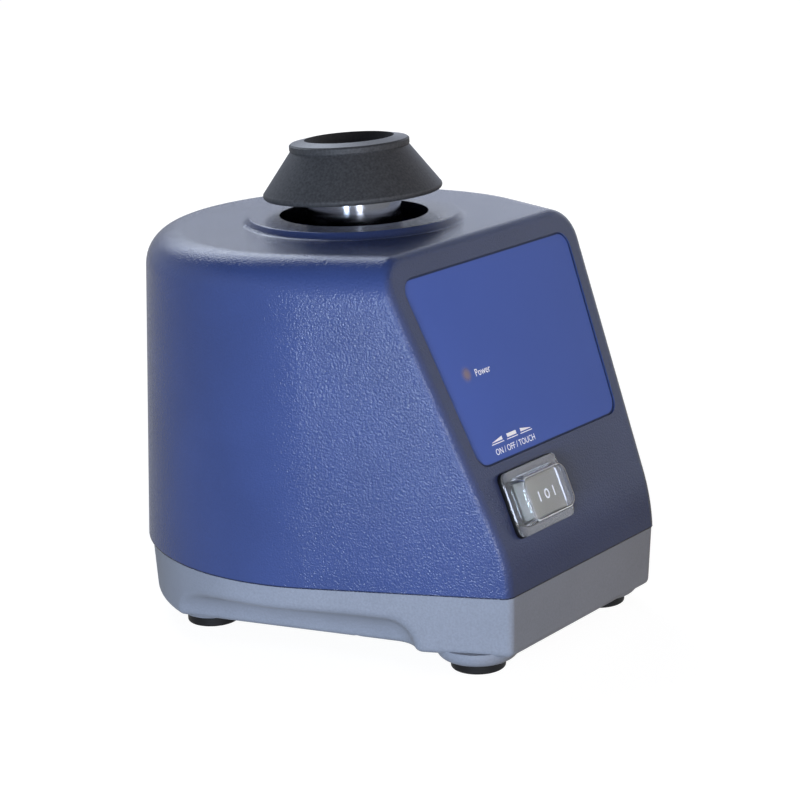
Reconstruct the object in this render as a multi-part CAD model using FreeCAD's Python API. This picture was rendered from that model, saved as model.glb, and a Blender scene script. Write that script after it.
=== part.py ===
import FreeCAD, Part

import math
import os

from FreeCAD import Placement, Rotation, Vector

# Vortex mixer, millimetres, Z up, front towards -Y, origin under the middle of the box.

# Plan of the casings: a round back about the head axis, tapering sides and a flat front.
BODY_RADIUS = 63.5
FRONT_REACH = 76.5
BOOT_REACH = 78.18
AXIS_Y = (BOOT_REACH - BODY_RADIUS) / 2
SIDE_TAPER = math.radians(22.85)
HOUSING_DRAFT = math.radians(2.88)
BASE_DRAFT = math.radians(3.0)
BASE_INSET = 1.0
WALL = 3.0

# Heights above the table.
FOOT_HEIGHT = 2.9
BASE_BOTTOM = 6.2
SEAM_Z = 23.5
BREAK_Z = 32.0
TOP_Z = 112.3
COLLAR_TOP_Z = 114.2

# Slanted front panel.
PANEL_LEAN = math.radians(22.45)
BREAK_BEND_RADIUS = 43.0
SHOULDER_RADIUS = 10.0
PANEL_EDGE_RADIUS = 3.5
OVERLAY_LOW = 26.8
OVERLAY_HIGH = 80.6
OVERLAY_LOW_HALF = 33.6
OVERLAY_HIGH_HALF = 39.4
OVERLAY_CORNER = 4.5
OVERLAY_RECESS = 1.0
OVERLAY_THICK = 0.6
LAMP_X = -25.2
LAMP_UP = 51.7
LAMP_RADIUS = 1.5

# Opening in the top and the collar round it.
OPENING_RADIUS = 21.2
COLLAR_BASE_RADIUS = 31.8
COLLAR_RADIUS = 29.9
COLLAR_BLEND = 1.6

# Base casting.
BASE_FLOOR = 4.7
BASE_ROUND = 2.0
BASE_CORNER = 2.2
SCOOP_RADIUS = 9.0
SCOOP_Z = 6.7
SCOOP_START = (50.5, -44.0)
SCOOP_LENGTH = 90.0
SCOOP_TURN = math.radians(13.5)
SCOOP_BLEND = 3.0
FRONT_FOOT_BOSS = 11.6
REAR_FOOT_BOSS = 9.2
FOOT_BOSS_BOTTOM = 8.2
FOOT_RADIUS = 7.5
BOSS_TOP_Z = 32.2
FOOT_PLACES = ((-30.2, -61.2), (30.2, -61.2), (-41.2, 24.7), (41.2, 24.7))

# Orbiting head. It leans a little on its self-aligning bearing, as in the photo.
ORBIT = 2.0
CRANK_ANGLE = 26.0
HEAD_LEAN = 2.7
HEAD_LEAN_TOWARDS = 90.0
CUP_BOTTOM_Z = 119.4
CUP_TOP_Z = 135.3
CUP_RADIUS = 25.5
CUP_LIP_RADIUS = 17.1
CUP_MOUTH_RADIUS = 12.8
CUP_FLOOR_Z = 126.0
POST_RADIUS = 13.5
POST_TOP_Z = 124.2
POST_BOTTOM_Z = 100.8
BEARING_BORE = 4.0
BEARING_OUTER = 11.0
BEARING_WIDTH = 7.0
BEARING_Z = 105.8
BALL_RADIUS = 1.5
BALL_SPHERE = 9.15
BALL_ROW = 1.7

# Touch switch under the shaft.
THRUST_RADIUS = 7.0
LEVER_PIVOT_X = 27.5
LEVER_PIVOT_Z = 22.7
LEVER_TOP_Z = 23.8
PLUNGER_X = 20.5

# Drive.
SHAFT_RADIUS = 3.0
RUNNING_GAP = 0.03
SHAFT_FOOT_Z = 25.2
SHAFT_TOP_Z = 98.8
CORE_LOW = 56.0
CORE_HIGH = 80.0
CORE_HALF = 30.5
CORE_BACK = 20.0
LEG_FRONT = -42.0
LEG_BACK = -30.0
WINDOW_BACK = -18.0
WINDOW_HALF = 15.0
STATOR_BORE = 15.6
ROTOR_RADIUS = 15.2
MOTOR_BOLT_X = 24.5
PLATE_LOW = 40.0
PLATE_THICK = 2.0
PILLARS = ((-29.0, 16.0), (29.0, 16.0), (-29.0, -33.0), (29.0, -33.0))

# Rocker switch, centred on the panel under the overlay.
SWITCH_X = -16.0
SWITCH_UP = 14.9
BEZEL_LONG = 25.8
BEZEL_HIGH = 18.2
BEZEL_THICK = 1.0
SWITCH_BODY_LONG = 21.0
SWITCH_BODY_HIGH = 15.0
ROCKER_LONG = 17.2
ROCKER_FACE_LONG = 14.0
ROCKER_HIGH = 10.2
ROCKER_CROWN = 4.05
ROCKER_END = 3.7
ROCKER_WELL_LONG = 18.8
ROCKER_WELL_HIGH = 11.0
ROCKER_PIVOT_DEPTH = -3.0
BOOT_TOP = 5.86
BOOT_LONG = 22.2
BOOT_HIGH = 14.4
BOOT_ROUND = 1.5

# Mains inlet in a flat pocket at the back.
INLET_FACE = 54.0
INLET_Z = 53.0
INLET_LONG = 31.0
INLET_HIGH = 40.0
SOCKET_UP = 7.0
DRAWER_UP = -12.0

floor_z = BASE_BOTTOM + BASE_FLOOR


def box(x0, x1, y0, y1, z0, z1):
    return Part.makeBox(x1 - x0, y1 - y0, z1 - z0, Vector(x0, y0, z0))


def rod(radius, z0, z1, x=0.0, y=0.0):
    return Part.makeCylinder(radius, z1 - z0, Vector(x, y, z0))


def tube(outer, inner, z0, z1, x=0.0, y=0.0):
    return rod(outer, z0, z1, x, y).cut(rod(inner, z0 - 1, z1 + 1, x, y))


def cone(r0, r1, z0, z1, x=0.0, y=0.0):
    return Part.makeCone(r0, r1, z1 - z0, Vector(x, y, z0))


def rounded_box(long, high, z0, z1, corner, x=0.0, y=0.0):
    """A block with rounded vertical edges, centred on x, y."""
    block = box(x - long / 2, x + long / 2, y - high / 2, y + high / 2, z0, z1)
    upright = [e for e in block.Edges if abs(e.tangentAt(e.FirstParameter).z) > 0.9]
    return block.makeFillet(corner, upright)


def closed_face(edges):
    return Part.Face(Part.Wire(edges))


def polygon_face(points):
    return Part.Face(Part.makePolygon(points + [points[0]]))


def turned(points):
    """Solid of revolution about Z from (radius, height) points."""
    face = polygon_face([Vector(r, 0, z) for r, z in points])
    return face.revolve(Vector(0, 0, 0), Vector(0, 0, 1), 360)


def around_axis(shape):
    """Move a shape drawn about the origin on to the head axis."""
    moved = shape.copy()
    moved.translate(Vector(0, AXIS_Y, 0))
    return moved


def on_panel(shape):
    """Move a shape from panel coordinates (across, up the slope, outwards) to the front."""
    moved = shape.copy()
    lean = Rotation(Vector(1, 0, 0), 90 - math.degrees(PANEL_LEAN))
    front = Placement(Vector(0, AXIS_Y - FRONT_REACH, BREAK_Z), lean)
    moved.Placement = front.multiply(shape.Placement)
    return moved


def switch_spot(shape):
    """Move a shape drawn about the switch centre on to the panel."""
    moved = shape.copy()
    moved.translate(Vector(SWITCH_X, SWITCH_UP, 0))
    return on_panel(moved)


def group(shapes):
    return Part.makeCompound(shapes)


def plan_wire(radius, front, z):
    """Round back, tapering sides and straight front at one height, about the origin."""
    cos_t = math.cos(SIDE_TAPER)
    sin_t = math.sin(SIDE_TAPER)
    tangent_x = radius * cos_t
    tangent_y = -radius * sin_t
    corner_x = tangent_x - (tangent_y + front) * sin_t / cos_t
    left = Vector(-tangent_x, tangent_y, z)
    right = Vector(tangent_x, tangent_y, z)
    front_left = Vector(-corner_x, -front, z)
    front_right = Vector(corner_x, -front, z)
    back = Part.Arc(right, Vector(0, radius, z), left).toShape()
    edges = [back, Part.makeLine(left, front_left)]
    edges.append(Part.makeLine(front_left, front_right))
    edges.append(Part.makeLine(front_right, right))
    return Part.Wire(edges)


def plan_block(radius_low, radius_high, front_low, front_high, z0, z1):
    low = plan_wire(radius_low, front_low, z0)
    high = plan_wire(radius_high, front_high, z1)
    return Part.makeLoft([low, high], True, True)


def rim_edges(shape, z, front):
    """Edges round the back and sides at one height, without the front one."""
    found = []
    for edge in shape.Edges:
        flat = all(abs(v.Z - z) < 1e-4 for v in edge.Vertexes)
        middle = edge.valueAt((edge.FirstParameter + edge.LastParameter) / 2)
        if flat and abs(middle.z - z) < 1e-4 and middle.y > -front + 1.0:
            found.append(edge)
    return found


def front_profile(offset, roof):
    """Side profile of the housing front, moved inwards by offset, as a wide prism."""
    tan_l = math.tan(PANEL_LEAN)
    front = -FRONT_REACH + offset
    knee_z = BREAK_Z + offset * math.tan(PANEL_LEAN / 2)
    bend = BREAK_BEND_RADIUS - offset
    reach = bend * math.tan(PANEL_LEAN / 2)
    low = Vector(0, front, knee_z - reach)
    high = Vector(0, front + reach * math.sin(PANEL_LEAN), knee_z + reach * math.cos(PANEL_LEAN))
    centre = Vector(0, front + bend, knee_z - reach)
    half = PANEL_LEAN / 2
    middle = centre + Vector(0, -bend * math.cos(half), bend * math.sin(half))
    roof_front = Vector(0, front + (roof - knee_z) * tan_l, roof)
    bottom = low.z - 5.0
    edges = [Part.makeLine(Vector(0, front, bottom), low)]
    edges.append(Part.Arc(low, middle, high).toShape())
    edges.append(Part.makeLine(high, roof_front))
    edges.append(Part.makeLine(roof_front, Vector(0, 90, roof)))
    edges.append(Part.makeLine(Vector(0, 90, roof), Vector(0, 90, bottom)))
    edges.append(Part.makeLine(Vector(0, 90, bottom), Vector(0, front, bottom)))
    prism = closed_face(edges).extrude(Vector(200, 0, 0))
    prism.translate(Vector(-100, 0, 0))
    return prism


def housing_body(offset, roof, shoulder):
    """Solid inside the housing's outer skin, moved inwards by offset."""
    drop = math.tan(HOUSING_DRAFT)
    low = BODY_RADIUS - offset
    high = low - (roof - SEAM_Z) * drop
    block = plan_block(low, high, 96.0, 96.0, SEAM_Z, roof)
    block = block.makeFillet(shoulder, rim_edges(block, roof, 96.0))
    return block.common(front_profile(offset, roof))


def front_ring(shape):
    """Edges round the slanted front face, where it meets the sides and the top."""
    found = []
    for edge in shape.Edges:
        faces = shape.ancestorsOfType(edge, Part.Face)
        normals = []
        for face in faces:
            middle = edge.valueAt((edge.FirstParameter + edge.LastParameter) / 2)
            u, v = face.Surface.parameter(middle)
            normals.append(face.normalAt(u, v))
        if len(normals) != 2 or normals[0].dot(normals[1]) > 0.95:
            continue
        forward = [n for n in normals if abs(n.x) < 0.01 and n.y < -0.8]
        level = all(abs(v.Z - SEAM_Z) < 1e-3 for v in edge.Vertexes)
        if len(forward) == 1 and not level:
            found.append(edge)
    return found


def overlay_face(shrink):
    """Trapezoid with rounded corners in panel coordinates."""
    points = [
        Vector(-OVERLAY_LOW_HALF + shrink, OVERLAY_LOW + shrink, 0),
        Vector(OVERLAY_LOW_HALF - shrink, OVERLAY_LOW + shrink, 0),
        Vector(OVERLAY_HIGH_HALF - shrink, OVERLAY_HIGH - shrink, 0),
        Vector(-OVERLAY_HIGH_HALF + shrink, OVERLAY_HIGH - shrink, 0),
    ]
    return polygon_face(points)


def overlay_plate(shrink, n0, n1):
    plate = overlay_face(shrink).extrude(Vector(0, 0, n1 - n0))
    plate.translate(Vector(0, 0, n0))
    upright = [e for e in plate.Edges if abs(e.tangentAt(e.FirstParameter).z) > 0.9]
    return plate.makeFillet(OVERLAY_CORNER - shrink, upright)


def scoop_cutter():
    """Straight finger scoop along the lower right edge, with a round front end."""
    start = Vector(SCOOP_START[0], SCOOP_START[1], SCOOP_Z)
    along = Vector(math.sin(SCOOP_TURN), math.cos(SCOOP_TURN), 0)
    trough = Part.makeCylinder(SCOOP_RADIUS, SCOOP_LENGTH, start, along)
    return trough.fuse(Part.makeSphere(SCOOP_RADIUS, start))


def mirrored(shape):
    return shape.mirror(Vector(0, 0, 0), Vector(1, 0, 0))


def crank_point(reach):
    angle = math.radians(CRANK_ANGLE)
    return Vector(reach * math.cos(angle), reach * math.sin(angle), 0)


def on_crank(shape):
    """Move a shape drawn about the origin on to the crank pin."""
    moved = shape.copy()
    moved.translate(crank_point(ORBIT))
    return around_axis(moved)


def on_head(shape):
    """Lean a head piece on its bearing and move it on to the crank pin."""
    leaning = shape.copy()
    towards = math.radians(HEAD_LEAN_TOWARDS)
    axis = Vector(-math.sin(towards), math.cos(towards), 0)
    leaning.rotate(Vector(0, 0, BEARING_Z), axis, HEAD_LEAN)
    return on_crank(leaning)


def make_housing():
    outer = housing_body(0.0, TOP_Z, SHOULDER_RADIUS)
    outer = outer.makeFillet(PANEL_EDGE_RADIUS, front_ring(outer))
    collar = cone(COLLAR_BASE_RADIUS, COLLAR_RADIUS, TOP_Z - 0.5, COLLAR_TOP_Z)
    collar_top = [e for e in collar.Edges if e.BoundBox.ZMin > COLLAR_TOP_Z - 0.01]
    collar_top = [e for e in collar_top if e.Length > 50]
    outer = outer.fuse(collar.makeFillet(0.7, collar_top)).removeSplitter()
    level = [e for e in outer.Edges if abs(e.BoundBox.ZMax - TOP_Z) < 0.01]
    foot = [e for e in level if abs(e.BoundBox.XMax) < 32.0]
    outer = outer.makeFillet(COLLAR_BLEND, foot)
    inner = housing_body(WALL, TOP_Z - WALL, SHOULDER_RADIUS - WALL)
    backing_half = INLET_LONG / 2 + 8.0
    backing = box(-backing_half, backing_half, INLET_FACE - WALL, 90, INLET_Z - 28.0, INLET_Z + 28.0)
    shell = outer.cut(inner.cut(backing))
    low = INLET_Z - 24.0
    high = INLET_Z + 24.0
    pocket = rounded_box(INLET_LONG + 9.0, 40.0, low, high, 4.0, 0, INLET_FACE + 20.0)
    shell = shell.cut(pocket)
    shell = shell.cut(box(-14.3, 14.3, 40, 60, INLET_Z - 17.6, INLET_Z + 17.6))
    shell = shell.cut(rod(OPENING_RADIUS, TOP_Z - 10, TOP_Z + 10))
    for x, y in FOOT_PLACES:
        reach = 13.0 if y < 0 else 14.0
        boss = rod(5.5, SEAM_Z, BOSS_TOP_Z, x, y)
        end = x + reach if x > 0 else x - reach
        web = box(min(x, end), max(x, end), y - 1.5, y + 1.5, SEAM_Z, BOSS_TOP_Z)
        shell = shell.fuse(boss.fuse(web).common(outer))
        shell = shell.cut(rod(2.02, SEAM_Z - 1, BOSS_TOP_Z - 1.5, x, y))
    shell = around_axis(shell)
    shell = shell.cut(on_panel(overlay_plate(0.0, -OVERLAY_RECESS, 5.0)))
    shell = shell.cut(on_panel(rod(LAMP_RADIUS + 0.1, -9.0, 5.0, LAMP_X, LAMP_UP)))
    shell = shell.cut(switch_spot(box(-10.7, 10.7, -7.7, 7.7, -12.0, 5.0)))
    return shell.removeSplitter()


def front_corners(shape):
    """Upright edges at the two front corners."""
    found = []
    for edge in shape.Edges:
        upright = abs(edge.tangentAt(edge.FirstParameter).z) > 0.95
        if upright and edge.BoundBox.YMax < -FRONT_REACH + 2.0:
            found.append(edge)
    return found


def borders_scoop(shape, edge):
    """True for an edge between a finger scoop and another surface."""
    hollow = 0
    for face in shape.ancestorsOfType(edge, Part.Face):
        radius = getattr(face.Surface, "Radius", 0.0)
        if abs(radius - SCOOP_RADIUS) < 1e-3:
            hollow = hollow + 1
    return hollow == 1


def foot_boss(top_radius):
    """Round pad under the base that narrows to its foot."""
    step = top_radius - FOOT_BOSS_BOTTOM
    drop = BASE_BOTTOM - FOOT_HEIGHT
    top = Vector(top_radius, 0, BASE_BOTTOM)
    belly = Vector(FOOT_BOSS_BOTTOM + 0.72 * step, 0, FOOT_HEIGHT + 0.34 * drop)
    bottom = Vector(FOOT_BOSS_BOTTOM, 0, FOOT_HEIGHT)
    upper = Vector(top_radius, 0, BASE_BOTTOM + 1.0)
    edges = [Part.Arc(top, belly, bottom).toShape()]
    edges.append(Part.makeLine(bottom, Vector(0, 0, FOOT_HEIGHT)))
    edges.append(Part.makeLine(Vector(0, 0, FOOT_HEIGHT), Vector(0, 0, BASE_BOTTOM + 1.0)))
    edges.append(Part.makeLine(Vector(0, 0, BASE_BOTTOM + 1.0), upper))
    edges.append(Part.makeLine(upper, top))
    return closed_face(edges).revolve(Vector(0, 0, 0), Vector(0, 0, 1), 360)


def make_base():
    drop = math.tan(BASE_DRAFT)
    high_radius = BODY_RADIUS - BASE_INSET
    draft = (SEAM_Z - BASE_BOTTOM) * drop
    low_radius = high_radius - draft
    low_front = FRONT_REACH - draft
    base = plan_block(low_radius, high_radius, low_front, FRONT_REACH, BASE_BOTTOM, SEAM_Z)
    base = base.makeFillet(BASE_CORNER, front_corners(base))
    scoop = scoop_cutter()
    base = base.cut(scoop).cut(mirrored(scoop))
    crease = [e for e in base.Edges if borders_scoop(base, e) and e.BoundBox.ZMax > SCOOP_Z]
    base = base.makeFillet(SCOOP_BLEND, crease)
    lower_rim = [e for e in base.Edges if e.BoundBox.ZMax < BASE_BOTTOM + 0.01]
    lower_rim = [e for e in lower_rim if not borders_scoop(base, e)]
    base = base.makeFillet(BASE_ROUND, lower_rim)
    inner_low = low_radius - 12.0
    inner_high = high_radius - WALL
    inner_front = low_front - WALL
    cavity = plan_block(inner_low, inner_high, inner_front, inner_front, floor_z, SEAM_Z + 0.01)
    base = base.cut(cavity)
    for x, y in FOOT_PLACES:
        boss = foot_boss(FRONT_FOOT_BOSS if y < 0 else REAR_FOOT_BOSS)
        boss.translate(Vector(x, y, 0))
        post = rod(6.0, BASE_BOTTOM, SEAM_Z, x, y)
        base = base.fuse(boss).fuse(post)
        base = base.cut(rod(2.15, 0, 60, x, y))
    for row in range(-2, 3):
        for way in (-1, 1):
            slot = rounded_box(26.0, 3.2, 0, 20, 1.59, way * 31.0, row * 7.0 - 16.0)
            base = base.cut(slot)
    return around_axis(base.removeSplitter())


def make_cup():
    bowl_depth = CUP_TOP_Z - CUP_FLOOR_Z
    mouth = Vector(CUP_MOUTH_RADIUS, 0, CUP_TOP_Z)
    bottom = Vector(0, 0, CUP_FLOOR_Z)
    belly = Vector(CUP_MOUTH_RADIUS * 0.74, 0, CUP_FLOOR_Z + bowl_depth * 0.34)
    lip = CUP_LIP_RADIUS
    points = [
        Vector(lip - 0.5, 0, CUP_TOP_Z - 0.75),
        Vector(lip, 0, CUP_TOP_Z - 1.2),
        Vector(lip, 0, CUP_TOP_Z - 2.5),
        Vector(lip - 0.2, 0, CUP_TOP_Z - 2.9),
        Vector(CUP_RADIUS - 0.35, 0, CUP_BOTTOM_Z + 1.9),
        Vector(CUP_RADIUS - 1.3, 0, CUP_BOTTOM_Z),
        Vector(POST_RADIUS + 0.02, 0, CUP_BOTTOM_Z),
        Vector(POST_RADIUS + 0.02, 0, POST_TOP_Z + 0.02),
        Vector(0, 0, POST_TOP_Z + 0.02),
        bottom,
    ]
    edges = [Part.Arc(bottom, belly, mouth).toShape(), Part.makeLine(mouth, points[0])]
    for i in range(len(points) - 1):
        if i == 4:
            bulge = Vector(CUP_RADIUS, 0, CUP_BOTTOM_Z + 0.75)
            edges.append(Part.Arc(points[i], bulge, points[i + 1]).toShape())
        else:
            edges.append(Part.makeLine(points[i], points[i + 1]))
    cup = closed_face(edges).revolve(Vector(0, 0, 0), Vector(0, 0, 1), 360)
    return on_head(cup)


def make_post():
    post = rod(POST_RADIUS, POST_BOTTOM_Z, POST_TOP_Z)
    rim = [e for e in post.Edges if abs(e.BoundBox.ZMin - POST_TOP_Z) < 0.01 and e.Length > 20]
    post = post.makeChamfer(0.6, rim)
    post = post.cut(rod(BEARING_OUTER + 0.01, POST_BOTTOM_Z - 1, BEARING_Z + BEARING_WIDTH / 2))
    post = post.cut(rod(8.4, POST_BOTTOM_Z, BEARING_Z + BEARING_WIDTH / 2 + 6.0))
    groove_low = BEARING_Z - BEARING_WIDTH / 2 - 1.1
    post = post.cut(rod(BEARING_OUTER + 0.6, groove_low, groove_low + 1.1))
    return on_head(post)


def make_bearing_outer():
    half = BEARING_WIDTH / 2
    ring = rod(BEARING_OUTER, BEARING_Z - half, BEARING_Z + half)
    return on_head(ring.cut(Part.makeSphere(BALL_SPHERE, Vector(0, 0, BEARING_Z))))


def ball_row_radius():
    return math.sqrt((BALL_SPHERE - 0.03 - BALL_RADIUS) ** 2 - BALL_ROW ** 2)


def make_bearing_inner():
    half = BEARING_WIDTH / 2
    ring = tube(6.5, BEARING_BORE + 0.01, BEARING_Z - half, BEARING_Z + half)
    for way in (-1, 1):
        centre = Vector(0, 0, BEARING_Z + way * BALL_ROW)
        ring = ring.cut(Part.makeTorus(ball_row_radius(), BALL_RADIUS + 0.02, centre))
    return on_crank(ring)


def make_bearing_balls():
    balls = []
    count = 9
    for way in (-1, 1):
        for i in range(count):
            turn = 2 * math.pi * (i + 0.25 * way) / count
            reach = ball_row_radius()
            centre = Vector(reach * math.cos(turn), reach * math.sin(turn), BEARING_Z + way * BALL_ROW)
            balls.append(Part.makeSphere(BALL_RADIUS, centre))
    return on_crank(group(balls))


def make_retaining_ring():
    low = BEARING_Z - BEARING_WIDTH / 2 - 1.05
    ring = tube(BEARING_OUTER + 0.5, BEARING_OUTER - 1.2, low, low + 1.0)
    gap = box(-3.0, 3.0, 0, 20, low - 1, low + 2)
    return on_head(ring.cut(gap))


def make_anti_rotation_plate():
    low = 102.8
    plate = tube(33.0, POST_RADIUS + 0.02, low, low + 2.5)
    for i in range(3):
        turn = math.radians(30 + 120 * i)
        plate = plate.cut(rod(6.1, low - 1, low + 4, 24.0 * math.cos(turn), 24.0 * math.sin(turn)))
    return on_head(plate)


def guide_pin_places():
    """Centres of the fixed pins, in the middle of the head plate's orbit."""
    places = []
    for i in range(3):
        turn = math.radians(30 + 120 * i)
        places.append((24.0 * math.cos(turn), 24.0 * math.sin(turn)))
    return places


def make_guide_pins():
    pins = []
    roof = TOP_Z - WALL
    for x, y in guide_pin_places():
        pin = rod(2.5, 97.0, roof, x, y).fuse(rod(5.0, roof - 1.8, roof, x, y))
        pins.append(pin.fuse(rod(3.6, 96.0, 97.0, x, y)).removeSplitter())
    return around_axis(group(pins))


def make_guide_sleeves():
    sleeves = [tube(3.4, 2.51, 97.02, TOP_Z - WALL - 1.82, x, y) for x, y in guide_pin_places()]
    return around_axis(group(sleeves))


def make_eccentric():
    hub = rod(9.0, 94.5, 99.4)
    pin = rod(BEARING_BORE, 99.0, 109.0).fuse(rod(5.4, 99.0, BEARING_Z - BEARING_WIDTH / 2))
    pin.translate(crank_point(ORBIT))
    hub = hub.fuse(pin).removeSplitter()
    hub = hub.cut(rod(SHAFT_RADIUS, 90.0, SHAFT_TOP_Z))
    thread = rod(1.7, 103.0, 112.0)
    thread.translate(crank_point(ORBIT))
    hub = hub.cut(thread)
    set_hole = Part.makeCylinder(1.5, 12.0, Vector(0, 0, 97.0), crank_point(1.0))
    return around_axis(hub.cut(set_hole))


def make_set_screw():
    start = crank_point(SHAFT_RADIUS + 0.05) + Vector(0, 0, 97.0)
    return around_axis(Part.makeCylinder(1.48, 5.0, start, crank_point(1.0)))


def make_counterweight():
    weight = tube(16.5, 9.01, 94.7, 98.6)
    keep = box(-30, 30, -30, 0, 90, 110)
    weight = weight.common(keep)
    weight.rotate(Vector(0, 0, 0), Vector(0, 0, 1), CRANK_ANGLE - 90)
    return around_axis(weight)


def make_bearing_screw():
    low = BEARING_Z + BEARING_WIDTH / 2
    washer = rod(5.6, low, low + 1.0)
    head = rod(3.5, low + 1.0, low + 3.4).cut(rod(1.6, low + 2.0, low + 4))
    return on_crank(washer.fuse(head).fuse(rod(1.68, 103.2, low + 1.2)).removeSplitter())


def make_shaft():
    shaft = rod(SHAFT_RADIUS, SHAFT_FOOT_Z + SHAFT_RADIUS, SHAFT_TOP_Z)
    foot = Part.makeSphere(SHAFT_RADIUS, Vector(0, 0, SHAFT_FOOT_Z + SHAFT_RADIUS))
    return around_axis(shaft.fuse(foot).removeSplitter())


def make_rotor():
    body = rod(ROTOR_RADIUS, 59.5, 77.5)
    low_ring = tube(14.6, 9.5, 58.0, 59.5)
    high_ring = tube(14.6, 9.5, 77.5, 79.0)
    rotor = body.fuse(low_ring).fuse(high_ring)
    return around_axis(rotor.cut(rod(SHAFT_RADIUS, 50, 90)).removeSplitter())


def make_fan():
    fan = rod(6.5, 31.0, 37.0)
    for i in range(7):
        blade = box(5.5, 19.0, -0.6, 0.6, -3.6, 3.6)
        blade.rotate(Vector(0, 0, 0), Vector(1, 0, 0), 52)
        blade.translate(Vector(0, 0, 34.0))
        blade.rotate(Vector(0, 0, 0), Vector(0, 0, 1), 360.0 / 7 * i)
        fan = fan.fuse(blade)
    return around_axis(fan.cut(rod(SHAFT_RADIUS, 20, 50)).removeSplitter())


def make_core():
    core = box(-CORE_HALF, CORE_HALF, LEG_FRONT, CORE_BACK, CORE_LOW, CORE_HIGH)
    upright = [e for e in core.Edges if abs(e.tangentAt(e.FirstParameter).z) > 0.9]
    core = core.makeFillet(4.0, upright)
    window = box(-WINDOW_HALF, WINDOW_HALF, LEG_BACK, WINDOW_BACK, 0, 120)
    core = core.cut(window).cut(rod(STATOR_BORE, 0, 120))
    for way in (-1, 1):
        core = core.cut(rod(2.2, 0, 120, way * MOTOR_BOLT_X, 0))
    return around_axis(core)


def make_bobbin():
    half = WINDOW_HALF - 0.2
    y0 = LEG_FRONT - 0.1
    y1 = LEG_BACK + 0.1
    z0 = CORE_LOW - 0.1
    z1 = CORE_HIGH + 0.1
    bobbin = box(-half, half, y0 - 1.0, y1 + 1.0, z0 - 1.0, z1 + 1.0)
    for way in (-1, 1):
        inner = way * (half - 1.2)
        outer = way * half
        cheek = box(min(inner, outer), max(inner, outer), y0 - 5.6, y1 + 5.6, z0 - 5.6, z1 + 4.6)
        bobbin = bobbin.fuse(cheek)
    return around_axis(bobbin.cut(box(-50, 50, y0, y1, z0, z1)).removeSplitter())


def make_winding():
    half = WINDOW_HALF - 1.5
    y0 = LEG_FRONT - 1.15
    y1 = LEG_BACK + 1.15
    z0 = CORE_LOW - 1.15
    z1 = CORE_HIGH + 1.15
    coil = box(-half, half, y0 - 3.8, y1 + 3.8, z0 - 3.8, z1 + 3.0)
    lengthwise = [e for e in coil.Edges if abs(e.tangentAt(e.FirstParameter).x) > 0.9]
    coil = coil.makeFillet(2.4, lengthwise)
    return around_axis(coil.cut(box(-50, 50, y0, y1, z0, z1)))


def bracket(strip_low, strip_high, pad_low, pad_high, boss_low, boss_high):
    part = rounded_box(64.0, 18.0, strip_low, strip_high, 6.0)
    part = part.fuse(rod(8.5, boss_low, boss_high))
    for way in (-1, 1):
        part = part.fuse(rod(5.0, pad_low, pad_high, way * MOTOR_BOLT_X, 0))
    for way in (-1, 1):
        part = part.cut(rod(2.2, 0, 120, way * MOTOR_BOLT_X, 0))
    return around_axis(part.cut(rod(5.5, boss_low - 5, boss_high + 5)).removeSplitter())


def make_bush(z0, z1):
    return around_axis(tube(5.49, SHAFT_RADIUS + RUNNING_GAP, z0, z1))


def make_motor_spacers():
    top = PLATE_LOW + PLATE_THICK
    return around_axis(group([tube(4.5, 2.2, top, 50.0, way * MOTOR_BOLT_X, 0) for way in (-1, 1)]))


def hexagon(across, z0, z1, x, y):
    points = []
    for i in range(6):
        turn = math.radians(60 * i)
        reach = across / math.sqrt(3)
        points.append(Vector(x + reach * math.cos(turn), y + reach * math.sin(turn), z0))
    return polygon_face(points).extrude(Vector(0, 0, z1 - z0))


def make_motor_bolts():
    bolts = []
    for way in (-1, 1):
        x = way * MOTOR_BOLT_X
        shank = rod(2.0, 36.2, 86.5, x, 0)
        head = rod(3.6, 86.0, 89.2, x, 0).cut(hexagon(3.0, 87.2, 90, x, 0))
        bolts.append(shank.fuse(head).removeSplitter())
    return around_axis(group(bolts))


def make_motor_nuts():
    nuts = []
    for way in (-1, 1):
        x = way * MOTOR_BOLT_X
        nut = hexagon(7.0, PLATE_LOW - 3.2, PLATE_LOW, x, 0)
        nuts.append(nut.cut(rod(2.02, 0, 80, x, 0)))
    return around_axis(group(nuts))


def make_motor_plate():
    plate = box(-37, 37, -41, 24, PLATE_LOW, PLATE_LOW + PLATE_THICK)
    upright = [e for e in plate.Edges if abs(e.tangentAt(e.FirstParameter).z) > 0.9]
    plate = plate.makeFillet(6.0, upright)
    plate = plate.cut(rod(11.0, 0, 80))
    for way in (-1, 1):
        plate = plate.cut(rod(2.2, 0, 80, way * MOTOR_BOLT_X, 0))
    for x, y in PILLARS:
        plate = plate.cut(rod(4.6, 0, 80, x, y))
    return around_axis(plate)


def make_pillars():
    pillars = []
    for x, y in PILLARS:
        pillar = hexagon(9.0, floor_z, PLATE_LOW - 3.0, x, y)
        pillars.append(pillar.cut(rod(2.02, 22.0, 60.0, x, y)))
    return around_axis(group(pillars))


def make_isolators():
    isolators = []
    for x, y in PILLARS:
        low = PLATE_LOW - 3.0
        high = PLATE_LOW + PLATE_THICK + 3.0
        points = [(2.1, low), (7.0, low), (7.0, PLATE_LOW - 0.02), (4.55, PLATE_LOW - 0.02)]
        points += [(4.55, high - 2.98), (7.0, high - 2.98), (7.0, high), (2.1, high)]
        isolator = turned(points)
        isolator.translate(Vector(x, y, 0))
        isolators.append(isolator)
    return around_axis(group(isolators))


def make_pillar_screws():
    screws = []
    for x, y in PILLARS:
        high = PLATE_LOW + PLATE_THICK + 3.0
        screw = rod(2.0, 24.0, high + 0.5, x, y).fuse(rod(5.5, high, high + 0.8, x, y))
        head = rod(3.6, high + 0.8, high + 3.4, x, y).cut(hexagon(3.0, high + 2.0, high + 5, x, y))
        screws.append(screw.fuse(head).removeSplitter())
    return around_axis(group(screws))


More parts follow.
